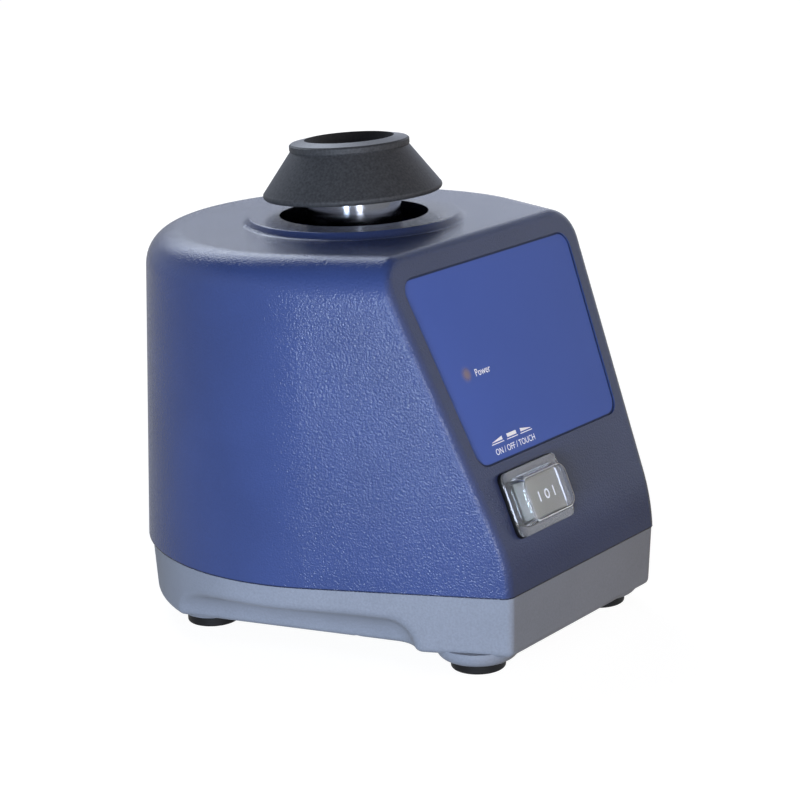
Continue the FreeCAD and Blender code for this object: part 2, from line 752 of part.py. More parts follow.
def make_thrust_guide():
    guide = tube(10.0, THRUST_RADIUS + RUNNING_GAP, floor_z, 20.5)
    flange = tube(16.0, THRUST_RADIUS + RUNNING_GAP, floor_z, floor_z + 2.2)
    guide = guide.fuse(flange).removeSplitter()
    guide = guide.cut(box(15.9, 30, -10, 10, 0, 40))
    for turn in (90, 180, 270):
        x = 13.0 * math.cos(math.radians(turn))
        y = 13.0 * math.sin(math.radians(turn))
        guide = guide.cut(rod(1.6, 0, 40, x, y))
    return around_axis(guide)


def make_guide_screws():
    screws = []
    top = floor_z + 2.2
    for turn in (90, 180, 270):
        x = 13.0 * math.cos(math.radians(turn))
        y = 13.0 * math.sin(math.radians(turn))
        screw = rod(1.5, floor_z + 0.02, top + 0.5, x, y).fuse(rod(2.7, top, top + 1.8, x, y))
        screws.append(screw.cut(box(x - 0.4, x + 0.4, y - 3, y + 3, top + 1.0, top + 3)).removeSplitter())
    return around_axis(group(screws))


def make_touch_spring():
    """Plain sleeve in place of the wound spring between the base floor and the thrust cup."""
    return around_axis(tube(6.2, 5.0, floor_z + 0.05, 17.95))


def make_thrust_cup():
    cup = rod(THRUST_RADIUS, 18.0, 26.0).fuse(rod(12.0, 24.0, 26.0)).fuse(rod(6.0, 26.0, 29.0))
    return around_axis(cup.cut(rod(SHAFT_RADIUS + RUNNING_GAP, SHAFT_FOOT_Z - 0.02, 40)).removeSplitter())


def make_micro_switch():
    body = box(16.0, 30.0, -3.4, 3.4, floor_z, 21.0)
    for way in (-1, 1):
        ear = box(25.5, 29.5, min(way * 2.3, way * 3.4), max(way * 2.3, way * 3.4), 20.0, 24.3)
        body = body.fuse(ear)
    body = body.removeSplitter().cut(rod(0.9, 17.6, 30, PLUNGER_X, 0))
    pin_hole = Part.makeCylinder(0.7, 20, Vector(LEVER_PIVOT_X, -10, LEVER_PIVOT_Z), Vector(0, 1, 0))
    return around_axis(body.cut(pin_hole))


def make_lever_pin():
    pin = Part.makeCylinder(0.69, 6.6, Vector(LEVER_PIVOT_X, -3.3, LEVER_PIVOT_Z), Vector(0, 1, 0))
    return around_axis(pin)


def make_switch_lever():
    strip = box(10.0, LEVER_PIVOT_X, -2.0, 2.0, LEVER_TOP_Z - 0.4, LEVER_TOP_Z)
    eye = Part.makeCylinder(1.1, 4.0, Vector(LEVER_PIVOT_X, -2.0, LEVER_PIVOT_Z), Vector(0, 1, 0))
    hole = Part.makeCylinder(0.75, 8.0, Vector(LEVER_PIVOT_X, -4.0, LEVER_PIVOT_Z), Vector(0, 1, 0))
    return around_axis(strip.fuse(eye).cut(hole).removeSplitter())


def make_switch_plunger():
    top = LEVER_TOP_Z - 0.45
    stem = rod(0.85, 18.8, top - 0.85, PLUNGER_X, 0)
    tip = Part.makeSphere(0.85, Vector(PLUNGER_X, 0, top - 0.85))
    return around_axis(stem.fuse(tip).removeSplitter())


def make_overlay():
    plate = overlay_plate(0.15, -OVERLAY_RECESS, -OVERLAY_RECESS + OVERLAY_THICK)
    return on_panel(plate.cut(rod(LAMP_RADIUS + 0.1, -5, 5, LAMP_X, LAMP_UP)))


def make_lamp():
    face = -OVERLAY_RECESS + OVERLAY_THICK + 0.1
    lamp = rod(LAMP_RADIUS, -8.0, face, LAMP_X, LAMP_UP)
    return on_panel(lamp.fuse(rod(2.4, -8.0, -6.6, LAMP_X, LAMP_UP)).removeSplitter())


def make_lamp_board():
    board = box(LAMP_X - 5.0, LAMP_X + 7.0, LAMP_UP - 4.5, LAMP_UP + 4.5, -9.6, -8.0)
    return on_panel(board)


def make_switch_body():
    body = rounded_box(BEZEL_LONG, BEZEL_HIGH, 0.0, BEZEL_THICK, 2.2)
    rim = [e for e in body.Edges if e.BoundBox.ZMin > BEZEL_THICK - 0.01]
    body = body.makeFillet(0.4, rim)
    long = SWITCH_BODY_LONG / 2
    high = SWITCH_BODY_HIGH / 2
    body = body.fuse(box(-long, long, -high, high, -16.0, 0.5))
    well_long = ROCKER_WELL_LONG / 2
    well_high = ROCKER_WELL_HIGH / 2
    body = body.cut(box(-well_long, well_long, -well_high, well_high, -11.0, 5.0))
    pivot = Part.makeCylinder(1.25, 13.8, Vector(0, -6.9, ROCKER_PIVOT_DEPTH), Vector(0, 1, 0))
    return switch_spot(body.cut(pivot).removeSplitter())


def make_switch_tabs():
    tabs = [box(x - 0.4, x + 0.4, -2.4, 2.4, -24.0, -16.0) for x in (-7.0, 0.0, 7.0)]
    return switch_spot(group(tabs))


def make_rocker():
    half = ROCKER_LONG / 2
    face_half = ROCKER_FACE_LONG / 2
    crown = Vector(0, 0, ROCKER_CROWN)
    left = Vector(-face_half, 0, ROCKER_END)
    right = Vector(face_half, 0, ROCKER_END)
    end_right = Vector(half, 0, BEZEL_THICK + 0.2)
    end_left = Vector(-half, 0, BEZEL_THICK + 0.2)
    low_right = Vector(half - 0.3, 0, -1.5)
    low_left = Vector(-half + 0.3, 0, -1.5)
    keel_right = Vector(4.0, 0, -6.0)
    keel_left = Vector(-4.0, 0, -6.0)
    edges = [Part.Arc(left, crown, right).toShape()]
    corners = [right, end_right, low_right, keel_right, keel_left, low_left, end_left, left]
    for start, end in zip(corners, corners[1:]):
        edges.append(Part.makeLine(start, end))
    rocker = closed_face(edges).extrude(Vector(0, ROCKER_HIGH, 0))
    rocker.translate(Vector(0, -ROCKER_HIGH / 2, 0))
    trunnion = Part.makeCylinder(1.2, 13.4, Vector(0, -6.7, ROCKER_PIVOT_DEPTH), Vector(0, 1, 0))
    return switch_spot(rocker.fuse(trunnion).removeSplitter())


def tapered_block(long, high, shrink, z0, z1, corner):
    """Block with rounded corners that narrows upwards."""
    wires = []
    for z, less in ((z0, 0.0), (z1, shrink)):
        block = rounded_box(long - less, high - less, z - 1.0, z, corner - less / 4)
        top = [f for f in block.Faces if f.BoundBox.ZMin > z - 0.01][0]
        wires.append(top.OuterWire)
    return Part.makeLoft(wires, True, True)


def make_switch_boot():
    low = BEZEL_THICK + 0.02
    flange = rounded_box(BEZEL_LONG - 0.4, BEZEL_HIGH - 0.4, low, low + 0.68, 2.1)
    dome = tapered_block(BOOT_LONG, BOOT_HIGH, 2.4, low, BOOT_TOP, 3.4)
    crown = [e for e in dome.Edges if e.BoundBox.ZMin > BOOT_TOP - 0.01]
    dome = dome.makeFillet(BOOT_ROUND, crown)
    boot = flange.fuse(dome).removeSplitter()
    hollow = tapered_block(BOOT_LONG - 1.6, BOOT_HIGH - 1.6, 2.0, low - 1.0, BOOT_TOP - 0.8, 2.4)
    return switch_spot(boot.cut(hollow))


def make_feet():
    feet = []
    for x, y in FOOT_PLACES:
        foot = rod(FOOT_RADIUS, 0.0, FOOT_HEIGHT, x, y)
        edge = [e for e in foot.Edges if e.BoundBox.ZMax < 0.01 and e.Length > 20]
        foot = foot.makeFillet(0.6, edge)
        feet.append(foot.cut(rod(4.2, -1, 1.5, x, y)).cut(rod(2.2, -1, 9, x, y)))
    return around_axis(group(feet))


def make_foot_screws():
    screws = []
    for x, y in FOOT_PLACES:
        screw = rod(2.0, 1.0, BOSS_TOP_Z - 2.5, x, y).fuse(rod(3.9, 0.4, 1.48, x, y))
        screws.append(screw.cut(box(x - 0.5, x + 0.5, y - 3, y + 3, 0, 0.9)).removeSplitter())
    return around_axis(group(screws))


def inlet_place(shape):
    """Move a shape from inlet coordinates (across, outwards, up) on to the back pocket."""
    moved = shape.copy()
    moved.translate(Vector(0, INLET_FACE, INLET_Z))
    return around_axis(moved)


def make_inlet():
    half = INLET_LONG / 2
    high = INLET_HIGH / 2
    flange = box(-half, half, 0.0, 2.6, -high, high)
    corners = [e for e in flange.Edges if abs(e.tangentAt(e.FirstParameter).y) > 0.9]
    flange = flange.makeFillet(2.0, corners)
    body = flange.fuse(box(-14.0, 14.0, -18.0, 1.0, -17.3, 17.3))
    socket = box(-12.3, 12.3, -15.5, 5.0, SOCKET_UP - 8.4, SOCKET_UP + 8.4)
    slant = [e for e in socket.Edges if abs(e.tangentAt(e.FirstParameter).y) > 0.9]
    upper = [e for e in slant if e.BoundBox.ZMin > SOCKET_UP]
    socket = socket.makeChamfer(5.0, upper)
    body = body.cut(socket)
    body = body.cut(box(-12.2, 12.2, -16.0, 5.0, DRAWER_UP - 4.4, DRAWER_UP + 4.4))
    for x, z in ((-7.0, -2.0), (7.0, -2.0), (0.0, 2.0)):
        body = body.cut(box(x - 1.02, x + 1.02, -20, -15, SOCKET_UP + z - 2.02, SOCKET_UP + z + 2.02))
    return inlet_place(body.removeSplitter())


def make_inlet_pins():
    pins = []
    for x, z in ((-7.0, -2.0), (7.0, -2.0), (0.0, 2.0)):
        pin = box(x - 1.0, x + 1.0, -18.0, -3.0, SOCKET_UP + z - 2.0, SOCKET_UP + z + 2.0)
        tab = box(x - 0.4, x + 0.4, -25.0, -18.0, SOCKET_UP + z - 2.4, SOCKET_UP + z + 2.4)
        pins.append(pin.fuse(tab).removeSplitter())
    return inlet_place(group(pins))


def make_fuse_drawer():
    front = box(-12.0, 12.0, -0.6, 3.8, DRAWER_UP - 4.2, DRAWER_UP + 4.2)
    edges = [e for e in front.Edges if e.BoundBox.YMin > 3.7]
    drawer = front.makeFillet(0.6, edges)
    drawer = drawer.fuse(box(-12.0, 12.0, -12.0, 0.0, DRAWER_UP - 4.2, DRAWER_UP + 3.4))
    drawer = drawer.cut(box(-11.0, 11.0, -10.8, -2.0, DRAWER_UP - 3.2, DRAWER_UP + 6.0))
    drawer = drawer.cut(box(-4.0, 4.0, 2.6, 6.0, DRAWER_UP + 2.2, DRAWER_UP + 6.0))
    return inlet_place(drawer.removeSplitter())


def make_fuse():
    glass = Part.makeCylinder(2.3, 10.0, Vector(-5.0, -6.4, DRAWER_UP - 0.55), Vector(1, 0, 0))
    return inlet_place(glass)


def make_fuse_caps():
    caps = []
    for start in (-10.0, 5.0):
        caps.append(Part.makeCylinder(2.6, 5.0, Vector(start, -6.4, DRAWER_UP - 0.55), Vector(1, 0, 0)))
    return inlet_place(group(caps))


pieces = {
    "housing": make_housing(),
    "base": make_base(),
    "panel_overlay": make_overlay(),
    "power_lamp": make_lamp(),
    "lamp_board": make_lamp_board(),
    "switch_body": make_switch_body(),
    "switch_tabs": make_switch_tabs(),
    "switch_boot": make_switch_boot(),
    "rocker": make_rocker(),
    "rubber_feet": make_feet(),
    "foot_screws": make_foot_screws(),
    "power_inlet": make_inlet(),
    "inlet_pins": make_inlet_pins(),
    "fuse_drawer": make_fuse_drawer(),
    "fuse_glass": make_fuse(),
    "fuse_caps": make_fuse_caps(),
    "motor_plate": make_motor_plate(),
    "plate_pillars": make_pillars(),
    "plate_isolators": make_isolators(),
    "plate_screws": make_pillar_screws(),
    "motor_core": make_core(),
    "coil_bobbin": make_bobbin(),
    "field_winding": make_winding(),
    "lower_bracket": bracket(50.0, 53.0, 53.0, CORE_LOW, 44.0, 53.0),
    "upper_bracket": bracket(83.0, 86.0, CORE_HIGH, 83.0, 83.0, 92.0),
    "lower_bush": make_bush(44.5, 52.5),
    "upper_bush": make_bush(83.5, 91.5),
    "motor_spacers": make_motor_spacers(),
    "motor_bolts": make_motor_bolts(),
    "motor_nuts": make_motor_nuts(),
    "guide_pins": make_guide_pins(),
    "guide_sleeves": make_guide_sleeves(),
    "thrust_guide": make_thrust_guide(),
    "guide_screws": make_guide_screws(),
    "touch_spring": make_touch_spring(),
    "thrust_cup": make_thrust_cup(),
    "micro_switch": make_micro_switch(),
    "lever_pin": make_lever_pin(),
    "switch_lever": make_switch_lever(),
    "switch_plunger": make_switch_plunger(),
    "motor_shaft": make_shaft(),
    "rotor": make_rotor(),
    "cooling_fan": make_fan(),
    "eccentric_hub": make_eccentric(),
    "set_screw": make_set_screw(),
    "counterweight": make_counterweight(),
    "bearing_inner": make_bearing_inner(),
    "bearing_balls": make_bearing_balls(),
    "bearing_screw": make_bearing_screw(),
    "bearing_outer": make_bearing_outer(),
    "retaining_ring": make_retaining_ring(),
    "anti_rotation_plate": make_anti_rotation_plate(),
    "head_post": make_post(),
    "rubber_cup": make_cup(),
}

os.makedirs("parts", exist_ok=True)
for name, shape in pieces.items():
    shape.exportStep("parts/" + name + ".step")
    solids = shape.Solids
    print(name, len(solids), "solids", round(sum(s.Volume for s in solids), 1), "mm3", shape.isValid())
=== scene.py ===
import math

import bpy
from bpy.props import FloatProperty, FloatVectorProperty, IntProperty, PointerProperty
from mathutils import Matrix, Vector


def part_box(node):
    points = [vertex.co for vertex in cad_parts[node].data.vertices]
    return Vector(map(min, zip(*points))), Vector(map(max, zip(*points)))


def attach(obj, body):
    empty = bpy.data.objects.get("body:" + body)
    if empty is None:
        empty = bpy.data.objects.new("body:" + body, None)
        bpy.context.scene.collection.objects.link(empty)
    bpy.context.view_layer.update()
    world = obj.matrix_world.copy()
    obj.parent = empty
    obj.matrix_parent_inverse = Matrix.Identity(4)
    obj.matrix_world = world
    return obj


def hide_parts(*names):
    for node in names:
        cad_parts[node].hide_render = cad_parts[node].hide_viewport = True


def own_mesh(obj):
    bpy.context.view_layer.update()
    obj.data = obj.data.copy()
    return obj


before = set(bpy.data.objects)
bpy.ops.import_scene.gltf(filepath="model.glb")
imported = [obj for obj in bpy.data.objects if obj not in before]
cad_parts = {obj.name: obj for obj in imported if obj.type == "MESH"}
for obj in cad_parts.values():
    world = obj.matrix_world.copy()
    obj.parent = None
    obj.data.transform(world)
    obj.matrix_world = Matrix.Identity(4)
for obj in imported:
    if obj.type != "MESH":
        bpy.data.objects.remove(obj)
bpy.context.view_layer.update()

bl_info = {
    "name": "Vortex mixer",
    "version": (1, 0, 0),
    "blender": (4, 5, 0),
    "location": "3D View > Sidebar > Mixer",
    "description": "Finishes, printed marks and wound wire of a bench vortex mixer",
    "category": "Object",
}

MM = 0.001

# The housing: its upright axis, the bore round the post and the joint with the base.
AXIS_Y = 7.34 * MM
BORE_RADIUS = 21.2 * MM
SEAM_HEIGHT = 23.5 * MM

# The slanted front: a point is given as across, up the slope from the bend, and outwards.
PANEL_FOOT = Vector((0.0, AXIS_Y - 76.5 * MM, 32.0 * MM))
PANEL_LEAN = math.radians(22.45)
PANEL_RISE = Vector((0.0, math.sin(PANEL_LEAN), math.cos(PANEL_LEAN)))
PANEL_OUT = Vector((0.0, -math.cos(PANEL_LEAN), math.sin(PANEL_LEAN)))
FILM_FACE = -0.4 * MM
FILM_LOW = 26.8 * MM
FILM_HIGH = 80.6 * MM
FILM_LOW_HALF = 33.6 * MM
FILM_HIGH_HALF = 39.4 * MM
FILM_CORNER = 4.5 * MM
LAMP_CENTRE = (-25.5 * MM, 51.7 * MM)
SWITCH_CENTRE = (-16.0 * MM, 14.6 * MM)
ROCKER_CROWN = 4.04 * MM
ROCKER_CURVE = 70.2 * MM
BOOT_FLANGE = 1.72 * MM
BOOT_CLEAR_END = 11.6 * MM
BOOT_FROSTED = 9.5 * MM

# The cup's mouth: its middle and its radius.
CUP_CENTRE = (1.8 * MM, 9.6 * MM, 135.3 * MM)
CUP_MOUTH = 12.8 * MM

# The drive: step of the stacked sheets, layers and corners of the field winding, and room left round wound
# wire.
SHEET_STEP = 1.0 * MM
WINDING_LAYERS = 4
WINDING_CORNER = 1.0 * MM
WINDING_SPARE = 0.1 * MM
SPRING_SPARE = 0.02 * MM

# Print on the film: the box of each line of words, from its low left to its high right corner.
POWER_BOX = ((-21.7 * MM, 50.3 * MM), (-15.0 * MM, 52.3 * MM))
MODES_BOX = ((-24.7 * MM, 28.7 * MM), (-6.5 * MM, 30.4 * MM))

# Pictures of the rocker above the words: left and right end, and the height at each end.
PICTURE_LOW = 31.6 * MM
PICTURE_LINE = 0.24 * MM
PICTURE_FOOT = 32.2 * MM
PICTURE_PAST = 0.4 * MM
DOWN = 0.12 * MM
RAISED = 1.0 * MM
PICTURES = (
    (-24.9 * MM, -20.15 * MM, DOWN, RAISED),
    (-17.9 * MM, -13.6 * MM, RAISED, RAISED),
    (-11.6 * MM, -6.9 * MM, RAISED, DOWN),
)

# Signs on the rocker: a ring in the middle and a bar on either side.
SIGN_HALF_HEIGHT = 1.4 * MM
RING_HALF_WIDTH = 1.1 * MM
RING_STROKE = 0.48 * MM
BAR_HALF_WIDTH = 0.26 * MM
BAR_AWAY = 3.4 * MM

# The lamp's tint in the film: full up to the first distance from its middle, gone at the second.
LAMP_TINT = (0.2 * MM, 2.7 * MM)

# A grain's width as a share of a cloud's, in moulded plastic and rubber.
GRAIN_IN_CLOUD = 0.06

# The stage, in metres. The room is brighter towards its right, as the camera sees it.
WHITE = (1.0, 1.0, 1.0, 1.0)
FLOOR_HALF = 4.0
FLOOR_GREY = "#787878"
FLOOR_PATCH = 1.0 / 6.0
FLOOR_MIRRORED = 0.4
FLOOR_GLOW = 0.93
ROOM_TINT = (0.78, 0.84, 1.0, 1.0)
ROOM_RIGHT = (0.61, -0.79, 0.0)
ROOM_AS_LIGHT = 0.1

# Lamps: name, place, width and height, watts, colour, and the kind of ray that does not see it.
LAMPS = (
    ("Key", (-0.5, -0.22, 0.08), (0.3, 0.14), 4.05, "#deedff", "glossy"),
    ("Strip", (-0.5, -0.185, 0.056), (0.07, 0.1), 0.8, "#d8eaff", None),
    ("Back", (0.5, 0.9, 0.95), (0.8, 0.8), 9.5, "#e4eeff", None),
    ("Fill", (0.1, -0.8, 0.25), (0.6, 0.4), 2.2, "#ffdeae", "glossy"),
    ("Edge", (-0.32, -0.4, 0.06), (0.1, 0.2), 0.8, "#eef4ff", "diffuse"),
)
LAMP_AIM = Vector((0, 0, 0.06))

# The camera, fitted to the photograph.
CAMERA_PLACE = (-0.50624, -0.39795, 0.23346)
CAMERA_AHEAD = (0.7640, 0.5903, -0.2604)
CAMERA_LEVEL = (0.6114, -0.7913, 0.0)
CAMERA_ROLL = math.radians(2.006)
CAMERA_SENSOR = 36.0
CAMERA_LENS = 104.17


def linear(hex_colour):
    """An sRGB hex colour as linear RGBA."""
    digits = hex_colour.lstrip("#")
    channels = [int(digits[i:i + 2], 16) / 255 for i in (0, 2, 4)]
    return tuple(c / 12.92 if c <= 0.04045 else ((c + 0.055) / 1.055) ** 2.4 for c in channels) + (1.0,)


def add_node(tree, kind, inputs=None, **settings):
    """Add a node with its own settings; inputs hold values or the sockets that feed it."""
    node = tree.nodes.new(kind)
    for name, value in settings.items():
        setattr(node, name, value)
    for name, value in (inputs or {}).items():
        socket = node.inputs[name]
        if isinstance(value, bpy.types.NodeSocket):
            tree.links.new(value, socket)
        else:
            socket.default_value = value
    return node


def start_material(name):
    """A new material with an empty tree, its surface socket and the Object coordinates."""
    material = bpy.data.materials.new(name)
    material.use_nodes = True
    tree = material.node_tree
    tree.nodes.clear()
    output = add_node(tree, "ShaderNodeOutputMaterial")
    place = add_node(tree, "ShaderNodeTexCoord").outputs["Object"]
    return material, tree, output.inputs["Surface"], place


def panel_place():
    """The matrix from panel coordinates to the part's frame."""
    turn = Matrix((Vector((1, 0, 0)), PANEL_RISE, PANEL_OUT)).transposed()
    return Matrix.Translation(PANEL_FOOT) @ turn.to_4x4()


def paint(material, *nodes):
    """Give CAD nodes a finish in place of their plain one."""
    for name in nodes:
        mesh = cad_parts[name].data
        mesh.materials.clear()
        mesh.materials.append(material)


def add_piece(name, mesh, body, material, stands_for=()):
    """Put a finished mesh, already in the part's frame, on its body."""
    mesh.materials.clear()
    mesh.materials.append(material)
    piece = bpy.data.objects.new(name, mesh)
    bpy.context.scene.collection.objects.link(piece)
    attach(piece, body)
    if stands_for:
        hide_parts(*stands_for)
    return piece


def mottle(tree, place, size, detail, spread, low, high):
    """Soft cloudy patches of a real size, as a level that wanders between low and high."""
    patch = add_node(tree, "ShaderNodeTexNoise", {"Vector": place, "Scale": 1.0 / size, "Detail": detail})
    level = add_node(tree, "ShaderNodeMapRange", {
        "Value": patch.outputs["Fac"], "From Min": 0.5 - spread, "From Max": 0.5 + spread,
        "To Min": low, "To Max": high})
    return level.outputs["Result"]


def tint(tree, colour, *levels):
    """A colour, or the socket of one, made darker or lighter by each level in turn."""
    shade = colour if isinstance(colour, bpy.types.NodeSocket) else tuple(colour)[:3]
    for level in levels:
        scaled = add_node(tree, "ShaderNodeVectorMath", {0: shade, "Scale": level}, operation="SCALE")
        shade = scaled.outputs["Vector"]
    return shade


def blue_powder_coat(colours, sizes):
    """Textured powder coat: fine orange peel that breaks light into flecks.

    Painted shade makes it greyer where it faces the front and dark in the bore; it is also dark along the
    joint.
    """
    material, tree, surface, place = start_material("Blue textured powder coat")
    peel = add_node(tree, "ShaderNodeTexNoise", {
        "Vector": place, "Scale": 1.0 / sizes.peel_grain, "Detail": 1.0, "Roughness": 0.5})
    shade = mottle(tree, place, 28 * MM, 2.0, 0.15, 0.94, 1.06)
    fleck = add_node(tree, "ShaderNodeMapRange", {
        "Value": peel.outputs["Fac"], "From Min": 0.3, "From Max": 0.75, "To Min": 0.97, "To Max": 1.04})
    # Painted shade: the coat is darkened in the bore.
    flat = add_node(tree, "ShaderNodeVectorMath", {0: place, 1: (1.0, 1.0, 0.0)}, operation="MULTIPLY")
    reach = add_node(tree, "ShaderNodeVectorMath", {
        0: flat.outputs["Vector"], 1: (0.0, AXIS_Y, 0.0)}, operation="DISTANCE")
    bore = add_node(tree, "ShaderNodeMapRange", {
        "Value": reach.outputs["Value"], "To Min": 0.1, "To Max": 1.0,
        "From Min": BORE_RADIUS + 0.1 * MM, "From Max": BORE_RADIUS + 0.4 * MM})
    axes = add_node(tree, "ShaderNodeSeparateXYZ", {"Vector": place})
    joint = add_node(tree, "ShaderNodeMapRange", {
        "Value": axes.outputs["Z"], "To Min": 0.2, "To Max": 1.0,
        "From Min": SEAM_HEIGHT + 0.2 * MM, "From Max": SEAM_HEIGHT + 0.5 * MM})
    # Painted shade: the coat leans to a grey where it faces the front.
    normal = add_node(tree, "ShaderNodeNewGeometry").outputs["Normal"]
    ahead = add_node(tree, "ShaderNodeVectorMath", {0: normal, 1: (0.0, -1.0, 0.0)}, operation="DOT_PRODUCT")
    painted_front_shade = add_node(tree, "ShaderNodeMapRange", {
        "Value": ahead.outputs["Value"], "From Min": 0.6, "From Max": 0.9, "To Min": 0.0, "To Max": 0.45})
    pigment_with_front_shade = add_node(tree, "ShaderNodeMix", {
        0: painted_front_shade.outputs["Result"], 6: tuple(colours.housing_blue), 7: tuple(colours.front_shade_grey)},
        data_type="RGBA")
    colour = tint(tree, pigment_with_front_shade.outputs[2], shade, fleck.outputs["Result"], bore.outputs["Result"],
                  joint.outputs["Result"])
    rough = add_node(tree, "ShaderNodeMapRange", {
        "Value": peel.outputs["Fac"], "From Min": 0.3, "From Max": 0.7, "To Min": 0.16, "To Max": 0.26})
    bump = add_node(tree, "ShaderNodeBump", {
        "Strength": 0.85, "Distance": 0.16 * MM, "Height": peel.outputs["Fac"]})
    coat = add_node(tree, "ShaderNodeBsdfPrincipled", {
        "Base Color": colour, "Roughness": rough.outputs["Result"], "IOR": 1.5,
        "Specular IOR Level": 0.35, "Normal": bump.outputs["Normal"]})
    tree.links.new(coat.outputs["BSDF"], surface)
    return material


def grey_enamel(colours):
    """Satin sprayed enamel on a casting: a fine sprayed grain, a faint ripple and slow changes of tone."""
    material, tree, surface, place = start_material("Grey sprayed enamel")
    spray = add_node(tree, "ShaderNodeTexNoise", {"Vector": place, "Scale": 1.0 / (0.6 * MM), "Detail": 3.0})
    shade = mottle(tree, place, 22 * MM, 2.0, 0.15, 0.96, 1.04)
    fleck = add_node(tree, "ShaderNodeMapRange", {
        "Value": spray.outputs["Fac"], "From Min": 0.3, "From Max": 0.7, "To Min": 0.92, "To Max": 1.08})
    colour = tint(tree, colours.base_grey, shade, fleck.outputs["Result"])
    rough = add_node(tree, "ShaderNodeMapRange", {
        "Value": spray.outputs["Fac"], "From Min": 0.3, "From Max": 0.7, "To Min": 0.38, "To Max": 0.5})
    bump = add_node(tree, "ShaderNodeBump", {
        "Strength": 0.5, "Distance": 0.07 * MM, "Height": spray.outputs["Fac"]})
    enamel = add_node(tree, "ShaderNodeBsdfPrincipled", {
        "Base Color": colour, "Roughness": rough.outputs["Result"], "IOR": 1.5,
        "Specular IOR Level": 0.35, "Normal": bump.outputs["Normal"]})
    tree.links.new(enamel.outputs["BSDF"], surface)
    return material


def film_edge_shade(tree, place):
    """How much of the film's colour shows: all of it, but little along its edge, where shade is painted in
    the gap to the recess wall.
    """
    upwards = add_node(tree, "ShaderNodeVectorMath", {0: place, 1: PANEL_RISE}, operation="DOT_PRODUCT")
    height = upwards.outputs["Value"]
    foot = PANEL_RISE.dot(PANEL_FOOT)
    half = add_node(tree, "ShaderNodeMapRange", {
        "Value": height, "From Min": foot + FILM_LOW, "From Max": foot + FILM_HIGH,
        "To Min": FILM_LOW_HALF - FILM_CORNER, "To Max": FILM_HIGH_HALF - FILM_CORNER})
    axes = add_node(tree, "ShaderNodeSeparateXYZ", {"Vector": place})
    across = add_node(tree, "ShaderNodeMath", {0: axes.outputs["X"]}, operation="ABSOLUTE")
    side = add_node(tree, "ShaderNodeMath", {
        0: across.outputs["Value"], 1: half.outputs["Result"]}, operation="SUBTRACT")
    middle = add_node(tree, "ShaderNodeMath", {
        0: height, 1: foot + (FILM_LOW + FILM_HIGH) / 2}, operation="SUBTRACT")
    from_middle = add_node(tree, "ShaderNodeMath", {0: middle.outputs["Value"]}, operation="ABSOLUTE")
    end = add_node(tree, "ShaderNodeMath", {
        0: from_middle.outputs["Value"], 1: (FILM_HIGH - FILM_LOW) / 2 - FILM_CORNER}, operation="SUBTRACT")
    corner = add_node(tree, "ShaderNodeCombineXYZ", {"X": side.outputs["Value"], "Y": end.outputs["Value"]})
    past = add_node(tree, "ShaderNodeVectorMath", {
        0: corner.outputs["Vector"], 1: (0.0, 0.0, 0.0)}, operation="MAXIMUM")
    reach = add_node(tree, "ShaderNodeVectorMath", {0: past.outputs["Vector"]}, operation="LENGTH")
    # Painted shade darkens the film along its edge, next to the recess wall.
    shown = add_node(tree, "ShaderNodeMapRange", {
        "Value": reach.outputs["Value"], "To Min": 1.0, "To Max": 0.15,
        "From Min": FILM_CORNER - 0.65 * MM, "From Max": FILM_CORNER - 0.4 * MM})
    return shown.outputs["Result"]


def lamp_film(name, colours):
    """Satin printed polycarbonate film: even colour, painted shade along its edge and a fine emboss.

    The lamp shows through as a tint that fades away from its middle.
    """
    material, tree, surface, place = start_material(name)
    # A real emboss is finer; it is drawn this coarse so that it shows.
    emboss = add_node(tree, "ShaderNodeTexNoise", {
        "Vector": place, "Scale": 1.0 / (0.4 * MM), "Detail": 1.0})
    tone = mottle(tree, place, 30 * MM, 1.0, 0.15, 0.98, 1.02)
    ground = tint(tree, colours.film_blue, tone, film_edge_shade(tree, place))
    centre = panel_place() @ Vector((*LAMP_CENTRE, FILM_FACE))
    away = add_node(tree, "ShaderNodeVectorMath", {0: place, 1: centre}, operation="DISTANCE")
    glow = add_node(tree, "ShaderNodeMapRange", {
        "Value": away.outputs["Value"], "From Min": LAMP_TINT[0], "From Max": LAMP_TINT[1],
        "To Min": 1.0, "To Max": 0.0}, interpolation_type="SMOOTHSTEP")
    tinted = add_node(tree, "ShaderNodeMix", {
        0: glow.outputs["Result"], 6: ground, 7: tuple(colours.lamp_amber)}, data_type="RGBA")
    bump = add_node(tree, "ShaderNodeBump", {
        "Strength": 0.12, "Distance": 0.02 * MM, "Height": emboss.outputs["Fac"]})
    film = add_node(tree, "ShaderNodeBsdfPrincipled", {
        "Base Color": tinted.outputs[2], "Roughness": 0.42, "IOR": 1.58, "Specular IOR Level": 0.12,
        "Normal": bump.outputs["Normal"]})
    tree.links.new(film.outputs["BSDF"], surface)
    return material


def moulded(name, colour, grain, roughness, level=0.5):
    """Moulded plastic or rubber: one colour with a fine spark-eroded grain and slight cloudiness."""
    material, tree, surface, place = start_material(name)
    # Spark-eroded grain is finer than this; it is drawn this coarse so that it shows.
    skin = add_node(tree, "ShaderNodeTexNoise", {"Vector": place, "Scale": 1.0 / grain, "Detail": 2.0})
    cloud = mottle(tree, place, grain / GRAIN_IN_CLOUD, 2.0, 0.2, 0.88, 1.12)
    rough = add_node(tree, "ShaderNodeMapRange", {
        "Value": skin.outputs["Fac"], "From Min": 0.3, "From Max": 0.7,
        "To Min": roughness - 0.06, "To Max": roughness + 0.06})
    bump = add_node(tree, "ShaderNodeBump", {
        "Strength": 0.3, "Distance": 0.03 * MM, "Height": skin.outputs["Fac"]})
    body = add_node(tree, "ShaderNodeBsdfPrincipled", {
        "Base Color": tint(tree, colour, cloud), "Roughness": rough.outputs["Result"], "IOR": 1.5,
        "Specular IOR Level": level, "Normal": bump.outputs["Normal"]})
    tree.links.new(body.outputs["BSDF"], surface)
    return material


